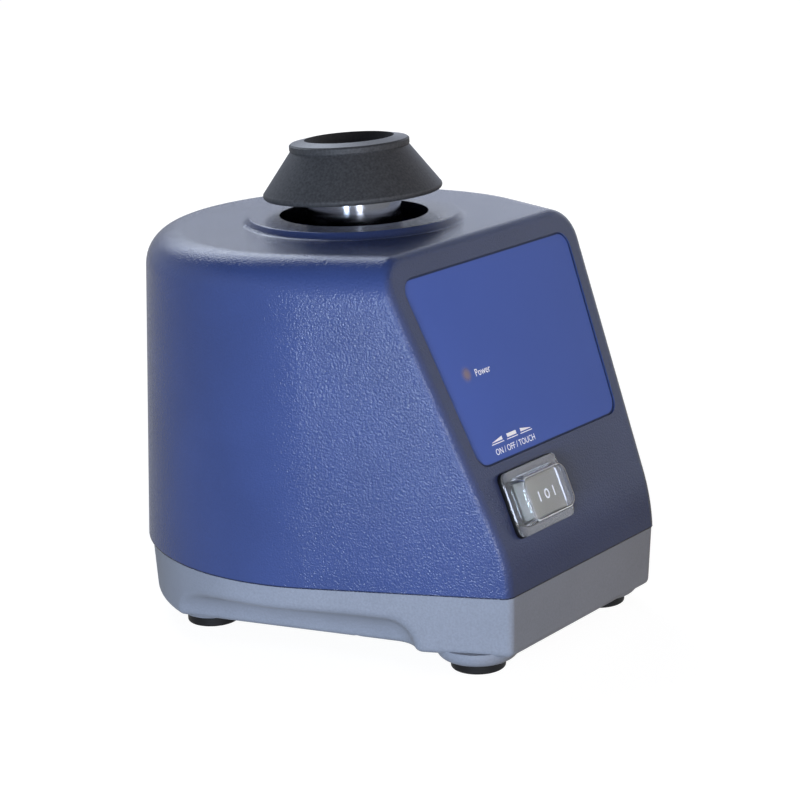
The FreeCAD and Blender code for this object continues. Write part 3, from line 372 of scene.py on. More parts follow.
def rocker_plastic(colours):
    """Grey moulded polycarbonate: an even satin finish with a fine moulded grain; painted shade darkens its
    sides.
    """
    material, tree, surface, place = start_material("Grey moulded polycarbonate")
    skin = add_node(tree, "ShaderNodeTexNoise", {"Vector": place, "Scale": 1.0 / (0.6 * MM), "Detail": 2.0})
    normal = add_node(tree, "ShaderNodeNewGeometry").outputs["Normal"]
    level = add_node(tree, "ShaderNodeVectorMath", {0: normal, 1: PANEL_OUT}, operation="DOT_PRODUCT")
    # Painted shade: the sides are darker than the outward face.
    painted_side_shade = add_node(tree, "ShaderNodeMapRange", {
        "Value": level.outputs["Value"], "From Min": 0.5, "From Max": 0.85, "To Min": 0.3, "To Max": 1.0})
    grain = add_node(tree, "ShaderNodeMapRange", {
        "Value": skin.outputs["Fac"], "From Min": 0.3, "From Max": 0.7, "To Min": 0.95, "To Max": 1.05})
    colour = tint(tree, colours.rocker_grey, painted_side_shade.outputs["Result"], grain.outputs["Result"])
    bump = add_node(tree, "ShaderNodeBump", {
        "Strength": 0.3, "Distance": 0.03 * MM, "Height": skin.outputs["Fac"]})
    body = add_node(tree, "ShaderNodeBsdfPrincipled", {
        "Base Color": colour, "Roughness": 0.38, "IOR": 1.5, "Specular IOR Level": 0.35,
        "Normal": bump.outputs["Normal"]})
    tree.links.new(body.outputs["BSDF"], surface)
    return material


def cup_rubber(colours):
    """Moulded rubber cup: matt grained flank, a rim rubbed smoother by tubes and a bowl darkened by painted
    shade.
    """
    material, tree, surface, place = start_material("Black moulded cup rubber")
    skin = add_node(tree, "ShaderNodeTexNoise", {"Vector": place, "Scale": 1.0 / (0.7 * MM), "Detail": 3.0})
    # Painted shade: the colour is halved inside the bowl.
    away = add_node(tree, "ShaderNodeVectorMath", {0: place, 1: CUP_CENTRE}, operation="DISTANCE")
    painted_bowl_shade = add_node(tree, "ShaderNodeMapRange", {
        "Value": away.outputs["Value"], "To Min": 0.5, "To Max": 1.0,
        "From Min": CUP_MOUTH - 0.5 * MM, "From Max": CUP_MOUTH + 0.2 * MM})
    grain = add_node(tree, "ShaderNodeMapRange", {
        "Value": skin.outputs["Fac"], "From Min": 0.3, "From Max": 0.7, "To Min": 0.7, "To Max": 1.3})
    colour = tint(tree, colours.cup_black, painted_bowl_shade.outputs["Result"], grain.outputs["Result"])
    normal = add_node(tree, "ShaderNodeNewGeometry").outputs["Normal"]
    axes = add_node(tree, "ShaderNodeSeparateXYZ", {"Vector": normal})
    rough = add_node(tree, "ShaderNodeMapRange", {
        "Value": axes.outputs["Z"], "From Min": 0.85, "From Max": 0.97, "To Min": 0.5, "To Max": 0.36})
    bump = add_node(tree, "ShaderNodeBump", {
        "Strength": 0.6, "Distance": 0.08 * MM, "Height": skin.outputs["Fac"]})
    body = add_node(tree, "ShaderNodeBsdfPrincipled", {
        "Base Color": colour, "Roughness": rough.outputs["Result"], "IOR": 1.5,
        "Specular IOR Level": 0.28, "Normal": bump.outputs["Normal"]})
    tree.links.new(body.outputs["BSDF"], surface)
    return material


def metal(name, colour, roughness, grain):
    """Bare or plated metal: coloured reflection with fine machining streaks round the upright axis."""
    material, tree, surface, place = start_material(name)
    stretch = add_node(tree, "ShaderNodeMapping", {"Vector": place, "Scale": (0.12, 0.12, 1.0)})
    streak = add_node(tree, "ShaderNodeTexNoise", {
        "Vector": stretch.outputs["Vector"], "Scale": 1.0 / grain, "Detail": 3.0})
    rough = add_node(tree, "ShaderNodeMapRange", {
        "Value": streak.outputs["Fac"], "From Min": 0.3, "From Max": 0.7,
        "To Min": roughness - 0.06, "To Max": roughness + 0.06})
    tone = add_node(tree, "ShaderNodeMapRange", {
        "Value": streak.outputs["Fac"], "From Min": 0.3, "From Max": 0.7, "To Min": 0.95, "To Max": 1.03})
    body = add_node(tree, "ShaderNodeBsdfPrincipled", {
        "Base Color": tint(tree, colour, tone.outputs["Result"]), "Metallic": 1.0,
        "Roughness": rough.outputs["Result"]})
    tree.links.new(body.outputs["BSDF"], surface)
    return material


def lamination_steel():
    """Stacked electrical steel: dull grey sheets with a dark line at each joint."""
    material, tree, surface, place = start_material("Stacked electrical steel")
    axes = add_node(tree, "ShaderNodeSeparateXYZ", {"Vector": place})
    # Real sheets are about half as thick; they are drawn this thick so that the joints show.
    sheets = add_node(tree, "ShaderNodeMath", {
        0: axes.outputs["Z"], 1: 1.0 / SHEET_STEP}, operation="MULTIPLY")
    step = add_node(tree, "ShaderNodeMath", {0: sheets.outputs["Value"]}, operation="FRACT")
    line = add_node(tree, "ShaderNodeMapRange", {
        "Value": step.outputs["Value"], "From Min": 0.0, "From Max": 0.2, "To Min": 0.35, "To Max": 1.0})
    colour = tint(tree, linear("#7d7f83"), line.outputs["Result"])
    body = add_node(tree, "ShaderNodeBsdfPrincipled", {
        "Base Color": colour, "Metallic": 1.0, "Roughness": 0.45})
    tree.links.new(body.outputs["BSDF"], surface)
    return material


def clear_silicone(colours):
    """Moulded clear silicone: see-through and glossy, with painted highlights along its rounded crown,
    weaker where it faces left.

    The flat of the flange is frosted, apart from its left end.
    """
    material, tree, surface, place = start_material("Clear moulded silicone")
    ripple = add_node(tree, "ShaderNodeTexNoise", {
        "Vector": place, "Scale": 1.0 / (2.2 * MM), "Detail": 1.0})
    bump = add_node(tree, "ShaderNodeBump", {
        "Strength": 0.15, "Distance": 0.08 * MM, "Height": ripple.outputs["Fac"]})
    height = add_node(tree, "ShaderNodeVectorMath", {0: place, 1: PANEL_OUT}, operation="DOT_PRODUCT")
    flange = PANEL_OUT.dot(PANEL_FOOT) + BOOT_FLANGE
    low = add_node(tree, "ShaderNodeMapRange", {
        "Value": height.outputs["Value"], "From Min": flange, "From Max": flange + 0.1 * MM,
        "To Min": 1.0, "To Max": 0.0})
    normal = add_node(tree, "ShaderNodeNewGeometry").outputs["Normal"]
    level = add_node(tree, "ShaderNodeVectorMath", {0: normal, 1: PANEL_OUT}, operation="DOT_PRODUCT")
    flat = add_node(tree, "ShaderNodeMapRange", {
        "Value": level.outputs["Value"], "From Min": 0.6, "From Max": 0.9})
    axes = add_node(tree, "ShaderNodeSeparateXYZ", {"Vector": place})
    past_end = add_node(tree, "ShaderNodeMapRange", {
        "Value": axes.outputs["X"],
        "From Min": SWITCH_CENTRE[0] - BOOT_CLEAR_END, "From Max": SWITCH_CENTRE[0] - BOOT_FROSTED})
    flange_top = add_node(tree, "ShaderNodeMath", {
        0: low.outputs["Result"], 1: flat.outputs["Result"]}, operation="MULTIPLY")
    frosted = add_node(tree, "ShaderNodeMath", {
        0: flange_top.outputs["Value"], 1: past_end.outputs["Result"]}, operation="MULTIPLY")
    turned = add_node(tree, "ShaderNodeSeparateXYZ", {"Vector": normal}).outputs["X"]
    slope = add_node(tree, "ShaderNodeMapRange", {
        "Value": turned, "From Min": 0.2, "From Max": 0.35, "To Min": 0.6, "To Max": 0.8})
    rounded = add_node(tree, "ShaderNodeMath", {
        0: level.outputs["Value"], 1: slope.outputs["Result"], 2: 0.16}, operation="COMPARE")
    # Painted highlight: the crown turns partly opaque so its near-white colour shows, weaker where it faces
    # left.
    crown_highlight_weight = add_node(tree, "ShaderNodeMapRange", {
        "Value": turned, "From Min": -0.5, "From Max": -0.2, "To Min": 0.2, "To Max": 1.0})
    crown = add_node(tree, "ShaderNodeMath", {
        0: rounded.outputs["Value"], 1: crown_highlight_weight.outputs["Result"]}, operation="MULTIPLY")
    skin = add_node(tree, "ShaderNodeMapRange", {
        "Value": frosted.outputs["Value"], "To Min": 0.98, "To Max": 0.9})
    edge = add_node(tree, "ShaderNodeMapRange", {
        "Value": crown.outputs["Value"], "To Min": 1.0, "To Max": 0.2})
    clear = add_node(tree, "ShaderNodeMath", {
        0: skin.outputs["Result"], 1: edge.outputs["Result"]}, operation="MULTIPLY")
    rough = add_node(tree, "ShaderNodeMapRange", {
        "Value": frosted.outputs["Value"], "To Min": 0.03, "To Max": 0.15})
    body = add_node(tree, "ShaderNodeBsdfPrincipled", {
        "Base Color": tuple(colours.boot_clear), "Roughness": rough.outputs["Result"], "IOR": 1.35,
        "Transmission Weight": clear.outputs["Value"], "Normal": bump.outputs["Normal"]})
    tree.links.new(body.outputs["BSDF"], surface)
    return material


def clear_glass():
    """Drawn glass tube: clear, with a trace of green at the edges."""
    material, tree, surface, place = start_material("Clear drawn glass")
    rough = mottle(tree, place, 1.5 * MM, 1.0, 0.2, 0.02, 0.06)
    body = add_node(tree, "ShaderNodeBsdfPrincipled", {
        "Base Color": linear("#eef6f2"), "Roughness": rough, "IOR": 1.52, "Transmission Weight": 1.0})
    tree.links.new(body.outputs["BSDF"], surface)
    return material


def screen_ink(colours):
    """White screen-printed ink: matt, very slightly uneven in density."""
    material, tree, surface, place = start_material("White screen-printed ink")
    tone = mottle(tree, place, 0.3 * MM, 1.0, 0.2, 0.94, 1.0)
    body = add_node(tree, "ShaderNodeBsdfPrincipled", {
        "Base Color": tint(tree, colours.print_white, tone), "Roughness": 0.55, "IOR": 1.5})
    tree.links.new(body.outputs["BSDF"], surface)
    return material


def white_stage():
    """Matt white studio card: white to the eye and in reflections, still darkened by shadows."""
    material, tree, surface, place = start_material("White studio floor")
    path = add_node(tree, "ShaderNodeLightPath")
    mirrored = add_node(tree, "ShaderNodeMath", {
        0: path.outputs["Is Glossy Ray"], 1: path.outputs["Is Transmission Ray"]}, operation="MAXIMUM")
    shown = add_node(tree, "ShaderNodeMath", {
        0: mirrored.outputs["Value"], 1: FLOOR_MIRRORED, 2: path.outputs["Is Camera Ray"]},
        operation="MULTIPLY_ADD")
    tone = mottle(tree, place, FLOOR_PATCH, 1.0, 0.5, 0.99, 1.0)
    card = add_node(tree, "ShaderNodeBsdfDiffuse", {"Color": tint(tree, linear(FLOOR_GREY), tone)})
    away = add_node(tree, "ShaderNodeVectorMath", {0: place}, operation="LENGTH")
    even = add_node(tree, "ShaderNodeMapRange", {
        "Value": away.outputs["Value"], "From Min": 0.1, "From Max": 0.6,
        "To Min": FLOOR_GLOW, "To Max": 1.0})
    strength = add_node(tree, "ShaderNodeMath", {
        0: shown.outputs["Value"], 1: even.outputs["Result"]}, operation="MULTIPLY")
    light = add_node(tree, "ShaderNodeEmission", {"Color": WHITE, "Strength": strength.outputs["Value"]})
    both = add_node(tree, "ShaderNodeAddShader", {0: card.outputs["BSDF"], 1: light.outputs["Emission"]})
    tree.links.new(both.outputs["Shader"], surface)
    return material


def text_mesh(words, low, high, thick):
    """Lettering as a flat mesh that fills a box from low to high, standing on the plane at zero."""
    curve = bpy.data.curves.new(words, "FONT")
    curve.body = words
    half_depth = 0.02
    curve.extrude = half_depth
    curve.resolution_u = 3
    holder = bpy.data.objects.new(words, curve)
    bpy.context.scene.collection.objects.link(holder)
    bpy.context.view_layer.update()
    graph = bpy.context.evaluated_depsgraph_get()
    mesh = bpy.data.meshes.new_from_object(holder.evaluated_get(graph))
    bpy.data.objects.remove(holder)
    bpy.data.curves.remove(curve)
    xs = [v.co.x for v in mesh.vertices]
    ys = [v.co.y for v in mesh.vertices]
    scale_x = (high[0] - low[0]) / (max(xs) - min(xs))
    scale_y = (high[1] - low[1]) / (max(ys) - min(ys))
    for vertex in mesh.vertices:
        x = low[0] + (vertex.co.x - min(xs)) * scale_x
        y = low[1] + (vertex.co.y - min(ys)) * scale_y
        vertex.co = (x, y, (vertex.co.z + half_depth) / (2 * half_depth) * thick)
    return mesh


def outline_mesh(name, outlines, thick):
    """Flat closed shapes, each a list of corners anticlockwise, as thin plates on the plane at zero."""
    points = []
    faces = []
    for corners in outlines:
        first = len(points)
        count = len(corners)
        points += [(x, y, thick) for x, y in corners]
        points += [(x, y, 0.0) for x, y in corners]
        faces.append([first + i for i in range(count)])
        faces.append([first + count + i for i in reversed(range(count))])
        for i in range(count):
            j = (i + 1) % count
            faces.append([first + i, first + count + i, first + count + j, first + j])
    mesh = bpy.data.meshes.new(name)
    mesh.from_pydata(points, [], faces)
    return mesh


def switch_pictures():
    """Three small pictures of the rocker: left side down, level and right side down, each over a line."""
    shapes = []
    for left, right, high_left, high_right in PICTURES:
        start = left - PICTURE_PAST
        stop = right + PICTURE_PAST
        top = PICTURE_LOW + PICTURE_LINE
        shapes.append([(start, PICTURE_LOW), (stop, PICTURE_LOW), (stop, top), (start, top)])
        shapes.append([(left, PICTURE_FOOT), (right, PICTURE_FOOT),
                       (right, PICTURE_FOOT + high_right), (left, PICTURE_FOOT + high_left)])
    return shapes


def ring_mesh(name, centre, half, stroke, thick):
    """A flat oval ring on the plane at zero."""
    count = 36
    points = []
    for level in (0.0, thick):
        for less in (0.0, stroke):
            for step in range(count):
                angle = 2 * math.pi * step / count
                points.append((centre[0] + (half[0] - less) * math.cos(angle),
                               centre[1] + (half[1] - less) * math.sin(angle), level))
    faces = []
    for i in range(count):
        j = (i + 1) % count
        low_out, low_in, high_out, high_in = (k * count for k in range(4))
        faces.append([high_out + i, high_out + j, high_in + j, high_in + i])
        faces.append([low_in + i, low_in + j, low_out + j, low_out + i])
        faces.append([low_out + i, low_out + j, high_out + j, high_out + i])
        faces.append([high_in + i, high_in + j, low_in + j, low_in + i])
    mesh = bpy.data.meshes.new(name)
    mesh.from_pydata(points, [], faces)
    return mesh


def bar_mesh(name, centre, half, thick):
    """A flat upright bar on the plane at zero."""
    x, y = centre
    return outline_mesh(name, [[(x - half[0], y - half[1]), (x + half[0], y - half[1]),
                                (x + half[0], y + half[1]), (x - half[0], y + half[1])]], thick)


def join_meshes(name, meshes):
    """One mesh from several."""
    points = []
    faces = []
    for mesh in meshes:
        first = len(points)
        points += [tuple(v.co) for v in mesh.vertices]
        faces += [[first + i for i in p.vertices] for p in mesh.polygons]
        bpy.data.meshes.remove(mesh)
    joined = bpy.data.meshes.new(name)
    joined.from_pydata(points, [], faces)
    return joined


def nodes_mesh(name, tree, values):
    """The plain mesh that a geometry node tree makes with these input values."""
    holder = bpy.data.objects.new(name, bpy.data.meshes.new(name))
    modifier = holder.modifiers.new(name, "NODES")
    modifier.node_group = tree
    for item in tree.interface.items_tree:
        if item.item_type == "SOCKET" and item.in_out == "INPUT" and item.name in values:
            modifier[item.identifier] = values[item.name]
    bpy.context.scene.collection.objects.link(holder)
    bpy.context.view_layer.update()
    graph = bpy.context.evaluated_depsgraph_get()
    mesh = bpy.data.meshes.new_from_object(holder.evaluated_get(graph))
    holder.modifiers.remove(modifier)
    bpy.data.objects.remove(holder)
    return mesh


def start_tree(name, inputs):
    """An empty geometry node tree with named inputs and one geometry output."""
    tree = bpy.data.node_groups.new(name, "GeometryNodeTree")
    tree.interface.new_socket("Geometry", in_out="OUTPUT", socket_type="NodeSocketGeometry")
    for label, kind in inputs:
        tree.interface.new_socket(label, in_out="INPUT", socket_type=kind)
    given = add_node(tree, "NodeGroupInput")
    result = add_node(tree, "NodeGroupOutput")
    return tree, given.outputs, result.inputs["Geometry"]


def spring_tree(material):
    """Round wire wound on a straight helix."""
    tree, given, result = start_tree("Wound spring", (
        ("Wire Radius", "NodeSocketFloat"), ("Coil Radius", "NodeSocketFloat"),
        ("Height", "NodeSocketFloat"), ("Turns", "NodeSocketFloat")))
    helix = add_node(tree, "GeometryNodeCurveSpiral", {
        "Resolution": 28, "Rotations": given["Turns"], "Start Radius": given["Coil Radius"],
        "End Radius": given["Coil Radius"], "Height": given["Height"]})
    section = add_node(tree, "GeometryNodeCurvePrimitiveCircle", {
        "Resolution": 10, "Radius": given["Wire Radius"]})
    wire = add_node(tree, "GeometryNodeCurveToMesh", {
        "Curve": helix.outputs["Curve"], "Profile Curve": section.outputs["Curve"], "Fill Caps": True})
    whole = add_node(tree, "GeometryNodeRealizeInstances", {"Geometry": wire.outputs["Mesh"]})
    done = add_node(tree, "GeometryNodeSetMaterial", {
        "Geometry": whole.outputs["Geometry"], "Material": material})
    tree.links.new(done.outputs["Geometry"], result)
    return tree


def winding_tree(material, layers):
    """Turns of round wire side by side on a rectangular former, in layers."""
    tree, given, result = start_tree("Field winding", (
        ("Wire Radius", "NodeSocketFloat"), ("Inner Width", "NodeSocketFloat"),
        ("Inner Height", "NodeSocketFloat"), ("Turns", "NodeSocketInt"), ("Corner", "NodeSocketFloat")))
    section = add_node(tree, "GeometryNodeCurvePrimitiveCircle", {
        "Resolution": 6, "Radius": given["Wire Radius"]})
    pitch = add_node(tree, "ShaderNodeMath", {0: given["Wire Radius"], 1: 2.0}, operation="MULTIPLY")
    offset = add_node(tree, "ShaderNodeCombineXYZ", {"Z": pitch.outputs["Value"]})
    row = add_node(tree, "GeometryNodeMeshLine", {
        "Count": given["Turns"], "Offset": offset.outputs["Vector"]})
    stack = add_node(tree, "GeometryNodeJoinGeometry")
    for layer in range(layers):
        grow = add_node(tree, "ShaderNodeMath", {
            0: given["Wire Radius"], 1: 2.0 * (2 * layer + 1)}, operation="MULTIPLY")
        wide = add_node(tree, "ShaderNodeMath", {0: given["Inner Width"], 1: grow.outputs["Value"]})
        tall = add_node(tree, "ShaderNodeMath", {0: given["Inner Height"], 1: grow.outputs["Value"]})
        loop = add_node(tree, "GeometryNodeCurvePrimitiveQuadrilateral", {
            "Width": wide.outputs["Value"], "Height": tall.outputs["Value"]})
        round_loop = add_node(tree, "GeometryNodeFilletCurve", {
            "Curve": loop.outputs["Curve"], "Radius": given["Corner"], "Count": 4}, mode="POLY")
        turn = add_node(tree, "GeometryNodeCurveToMesh", {
            "Curve": round_loop.outputs["Curve"], "Profile Curve": section.outputs["Curve"]})
        turns = add_node(tree, "GeometryNodeInstanceOnPoints", {
            "Points": row.outputs["Mesh"], "Instance": turn.outputs["Mesh"]})
        tree.links.new(turns.outputs["Instances"], stack.inputs["Geometry"])
    whole = add_node(tree, "GeometryNodeRealizeInstances", {"Geometry": stack.outputs["Geometry"]})
    done = add_node(tree, "GeometryNodeSetMaterial", {
        "Geometry": whole.outputs["Geometry"], "Material": material})
    tree.links.new(done.outputs["Geometry"], result)
    return tree


def colour_property(name, description, hex_colour):
    """A colour that a user can change."""
    return FloatVectorProperty(name=name, description=description, default=linear(hex_colour), size=4,
                               min=0.0, max=1.0, subtype="COLOR")


class MixerColours(bpy.types.PropertyGroup):
    """Colours of the finishes."""

    housing_blue: colour_property("Housing", "Powder coat of the housing", "#2f3c67")
    # Grey of the painted shade on the housing's front.
    front_shade_grey: colour_property("Housing front", "Grey that the coat leans to on the front", "#29282f")
    base_grey: colour_property("Base", "Enamel of the base", "#767983")
    film_blue: colour_property("Panel film", "Printed film on the slanted front", "#485ea8")
    lamp_amber: colour_property("Lamp", "Unlit lamp behind the film", "#85767f")
    cup_black: colour_property("Cup", "Rubber of the cup", "#353537")
    foot_black: colour_property("Feet", "Rubber of the feet", "#0c0c0e")
    bezel_black: colour_property("Bezel", "Body and bezel of the power switch", "#08080a")
    inlet_black: colour_property("Inlet", "Mains inlet and fuse drawer", "#131315")
    rocker_grey: colour_property("Rocker", "Rocker of the power switch", "#7b7767")
    boot_clear: colour_property("Boot", "Clear boot over the switch", "#f2f4f8")
    print_white: colour_property("Print", "Lettering and marks", "#f8f9fc")


class MixerSizes(bpy.types.PropertyGroup):
    """Sizes of the texture, print and wire."""

    peel_grain: FloatProperty(name="Orange peel", description="Width of one bump of the powder coat",
                              default=0.52 * MM, unit="LENGTH")
    ink_thick: FloatProperty(name="Ink", description="Thickness of the printed ink",
                             default=0.03 * MM, unit="LENGTH")
    wire_radius: FloatProperty(name="Winding wire", description="Radius of the enamelled wire",
                               default=0.42 * MM, unit="LENGTH")
    winding_turns: IntProperty(name="Turns", description="Turns in one layer of the field winding",
                               default=31)
    spring_wire: FloatProperty(name="Spring wire", description="Radius of the touch spring's wire",
                               default=0.55 * MM, unit="LENGTH")
    spring_turns: FloatProperty(name="Spring turns", description="Turns of the touch spring", default=4.0)


class MIXER_OT_housing(bpy.types.Operator):
    """Powder coat the housing"""

    bl_idname = "mixer.housing"
    bl_label = "Housing"

    def execute(self, context):
        paint(blue_powder_coat(context.scene.mixer_colours, context.scene.mixer_sizes), "housing")
        return {"FINISHED"}


class MIXER_OT_base(bpy.types.Operator):
    """Paint the base casting"""

    bl_idname = "mixer.base"
    bl_label = "Base"

    def execute(self, context):
        paint(grey_enamel(context.scene.mixer_colours), "base")
        return {"FINISHED"}


class MIXER_OT_panel(bpy.types.Operator):
    """Finish the panel film and lamp and print the film"""

    bl_idname = "mixer.panel"
    bl_label = "Panel"

    def execute(self, context):
        colours = context.scene.mixer_colours
        thick = context.scene.mixer_sizes.ink_thick
        paint(lamp_film("Blue printed polycarbonate film", colours), "panel_overlay")
        paint(lamp_film("Lamp lens behind printed film", colours), "power_lamp")
        board = moulded("Green glass fibre board", linear("#1f5a34"), 0.5 * MM, 0.45)
        paint(board, "lamp_board")
        meshes = [
            text_mesh("Power", *POWER_BOX, thick),
            text_mesh("ON / OFF / TOUCH", *MODES_BOX, thick),
            outline_mesh("Switch pictures", switch_pictures(), thick),
        ]
        mesh = join_meshes("panel_print", meshes)
        mesh.transform(panel_place() @ Matrix.Translation((0, 0, FILM_FACE)))
        add_piece("panel_print", mesh, "chassis", screen_ink(colours))
        return {"FINISHED"}


class MIXER_OT_switch(bpy.types.Operator):
    """Finish the switch body, rocker and clear boot and mark the rocker"""

    bl_idname = "mixer.switch"
    bl_label = "Power switch"

    def execute(self, context):
        colours = context.scene.mixer_colours
        paint(moulded("Black moulded nylon", colours.bezel_black, 0.5 * MM, 0.42, 0.12), "switch_body")
        paint(rocker_plastic(colours), "rocker")
        paint(clear_silicone(colours), "switch_boot")
        paint(metal("Tin-plated brass tab", linear("#c9c4b2"), 0.3, 0.8 * MM), "switch_tabs")
        thick = context.scene.mixer_sizes.ink_thick
        marks = [ring_mesh("off", (0, 0), (RING_HALF_WIDTH, SIGN_HALF_HEIGHT), RING_STROKE, thick)]
        for x in (-BAR_AWAY, BAR_AWAY):
            bar = bar_mesh("on", (x, 0), (BAR_HALF_WIDTH, SIGN_HALF_HEIGHT), thick)
            bar.transform(Matrix.Translation((0, 0, -x * x / (2 * ROCKER_CURVE))))
            marks.append(bar)
        mesh = join_meshes("rocker_marks", marks)
        mesh.transform(panel_place() @ Matrix.Translation((*SWITCH_CENTRE, ROCKER_CROWN)))
        add_piece("rocker_marks", mesh, "rocker", screen_ink(colours))
        return {"FINISHED"}


class MIXER_OT_head(bpy.types.Operator):
    """Finish the rubber cup and its post"""

    bl_idname = "mixer.head"
    bl_label = "Head"

    def execute(self, context):
        colours = context.scene.mixer_colours
        paint(cup_rubber(colours), "rubber_cup")
        paint(metal("Polished steel", linear("#9a9da5"), 0.16, 1.2 * MM), "head_post")
        return {"FINISHED"}


class MIXER_OT_feet(bpy.types.Operator):
    """Finish the rubber feet and their screws"""

    bl_idname = "mixer.feet"
    bl_label = "Feet"

    def execute(self, context):
        colours = context.scene.mixer_colours
        paint(moulded("Black moulded foot rubber", colours.foot_black, 0.7 * MM, 0.45, 0.35), "rubber_feet")
        paint(metal("Zinc-plated steel screw", linear("#b9bcc0"), 0.32, 0.8 * MM), "foot_screws")
        return {"FINISHED"}


class MIXER_OT_inlet(bpy.types.Operator):
    """Finish the mains inlet, its pins and the fuse drawer"""

    bl_idname = "mixer.inlet"
    bl_label = "Mains inlet"

    def execute(self, context):
        colours = context.scene.mixer_colours
        plastic = moulded("Black moulded thermoplastic", colours.inlet_black, 0.6 * MM, 0.48)
        paint(plastic, "power_inlet", "fuse_drawer")
        plated = metal("Nickel-plated brass", linear("#cdc8b8"), 0.25, 0.8 * MM)
        paint(plated, "inlet_pins", "fuse_caps")
        paint(clear_glass(), "fuse_glass")
        return {"FINISHED"}


class MIXER_OT_drive(bpy.types.Operator):
    """Finish the motor, crank, bearing and touch switch inside"""

    bl_idname = "mixer.drive"
    bl_label = "Drive"

    def execute(self, context):
        sizes = context.scene.mixer_sizes
        steel = metal("Zinc-plated steel", linear("#b4b8bd"), 0.35, 0.9 * MM)
        paint(steel, "motor_plate", "plate_pillars", "plate_screws", "motor_bolts", "motor_nuts",
              "guide_pins", "guide_screws", "lever_pin", "switch_lever", "set_screw", "retaining_ring",
              "bearing_screw")
        ground = metal("Ground bearing steel", linear("#c4c7ca"), 0.16, 0.7 * MM)
        paint(ground, "motor_shaft", "bearing_inner", "bearing_balls", "bearing_outer", "eccentric_hub",
              "counterweight")
        alloy = metal("Die-cast alloy", linear("#a9acb0"), 0.5, 1.0 * MM)
        paint(alloy, "lower_bracket", "upper_bracket", "motor_spacers", "anti_rotation_plate")
        paint(metal("Sintered bronze", linear("#a9824a"), 0.45, 0.5 * MM), "lower_bush", "upper_bush")
        paint(lamination_steel(), "motor_core", "rotor")
        nylon = moulded("Natural moulded nylon", linear("#d9d5c6"), 0.6 * MM, 0.45)
        paint(nylon, "coil_bobbin", "thrust_guide", "thrust_cup")
        black = moulded("Black glass-filled nylon", linear("#1d1d20"), 0.5 * MM, 0.5)
        paint(black, "cooling_fan", "micro_switch")
        rubber = moulded("Black buffer rubber", linear("#232325"), 0.7 * MM, 0.6)
        paint(rubber, "plate_isolators", "guide_sleeves")
        paint(moulded("Grey acetal", linear("#8a8a86"), 0.6 * MM, 0.4), "switch_plunger")
        self.wind_field(sizes)
        self.wind_spring(sizes, steel)
        return {"FINISHED"}

    def wind_field(self, sizes):
        """Enamelled copper wire on the bobbin."""
        copper = metal("Enamelled copper wire", linear("#b8692f"), 0.3, 0.6 * MM)
        low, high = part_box("field_winding")
        radius = sizes.wire_radius
        wall = 2 * radius * WINDING_LAYERS + WINDING_SPARE
        tree = winding_tree(copper, WINDING_LAYERS)
        mesh = nodes_mesh("field_winding_wire", tree, {
            "Wire Radius": radius, "Turns": sizes.winding_turns, "Corner": WINDING_CORNER,
            "Inner Width": (high.z - low.z) - 2 * wall, "Inner Height": (high.y - low.y) - 2 * wall})
        length = 2 * radius * (sizes.winding_turns - 1)
        lay = Matrix(((0, 0, 1), (0, 1, 0), (-1, 0, 0))).to_4x4()
        centre = (low + high) / 2
        mesh.transform(Matrix.Translation((centre.x - length / 2, centre.y, centre.z)) @ lay)
        mesh.update()
        add_piece("field_winding_wire", mesh, "chassis", copper, ("field_winding",))

    def wind_spring(self, sizes, steel):
        """Wound touch spring, made at its rest length; this wire stays that length when the head is pressed.
        """
        low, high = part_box("touch_spring")
        radius = sizes.spring_wire
        coil = (high.x - low.x) / 2 - radius - SPRING_SPARE
        tree = spring_tree(steel)
        mesh = nodes_mesh("touch_spring_wire", tree, {
            "Wire Radius": radius, "Coil Radius": coil, "Height": high.z - low.z - 2 * radius,
            "Turns": sizes.spring_turns})
        centre = (low + high) / 2
        mesh.transform(Matrix.Translation((centre.x, centre.y, low.z + radius)))
        mesh.update()
        spring = add_piece("touch_spring_wire", mesh, "chassis", steel, ("touch_spring",))
        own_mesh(spring)


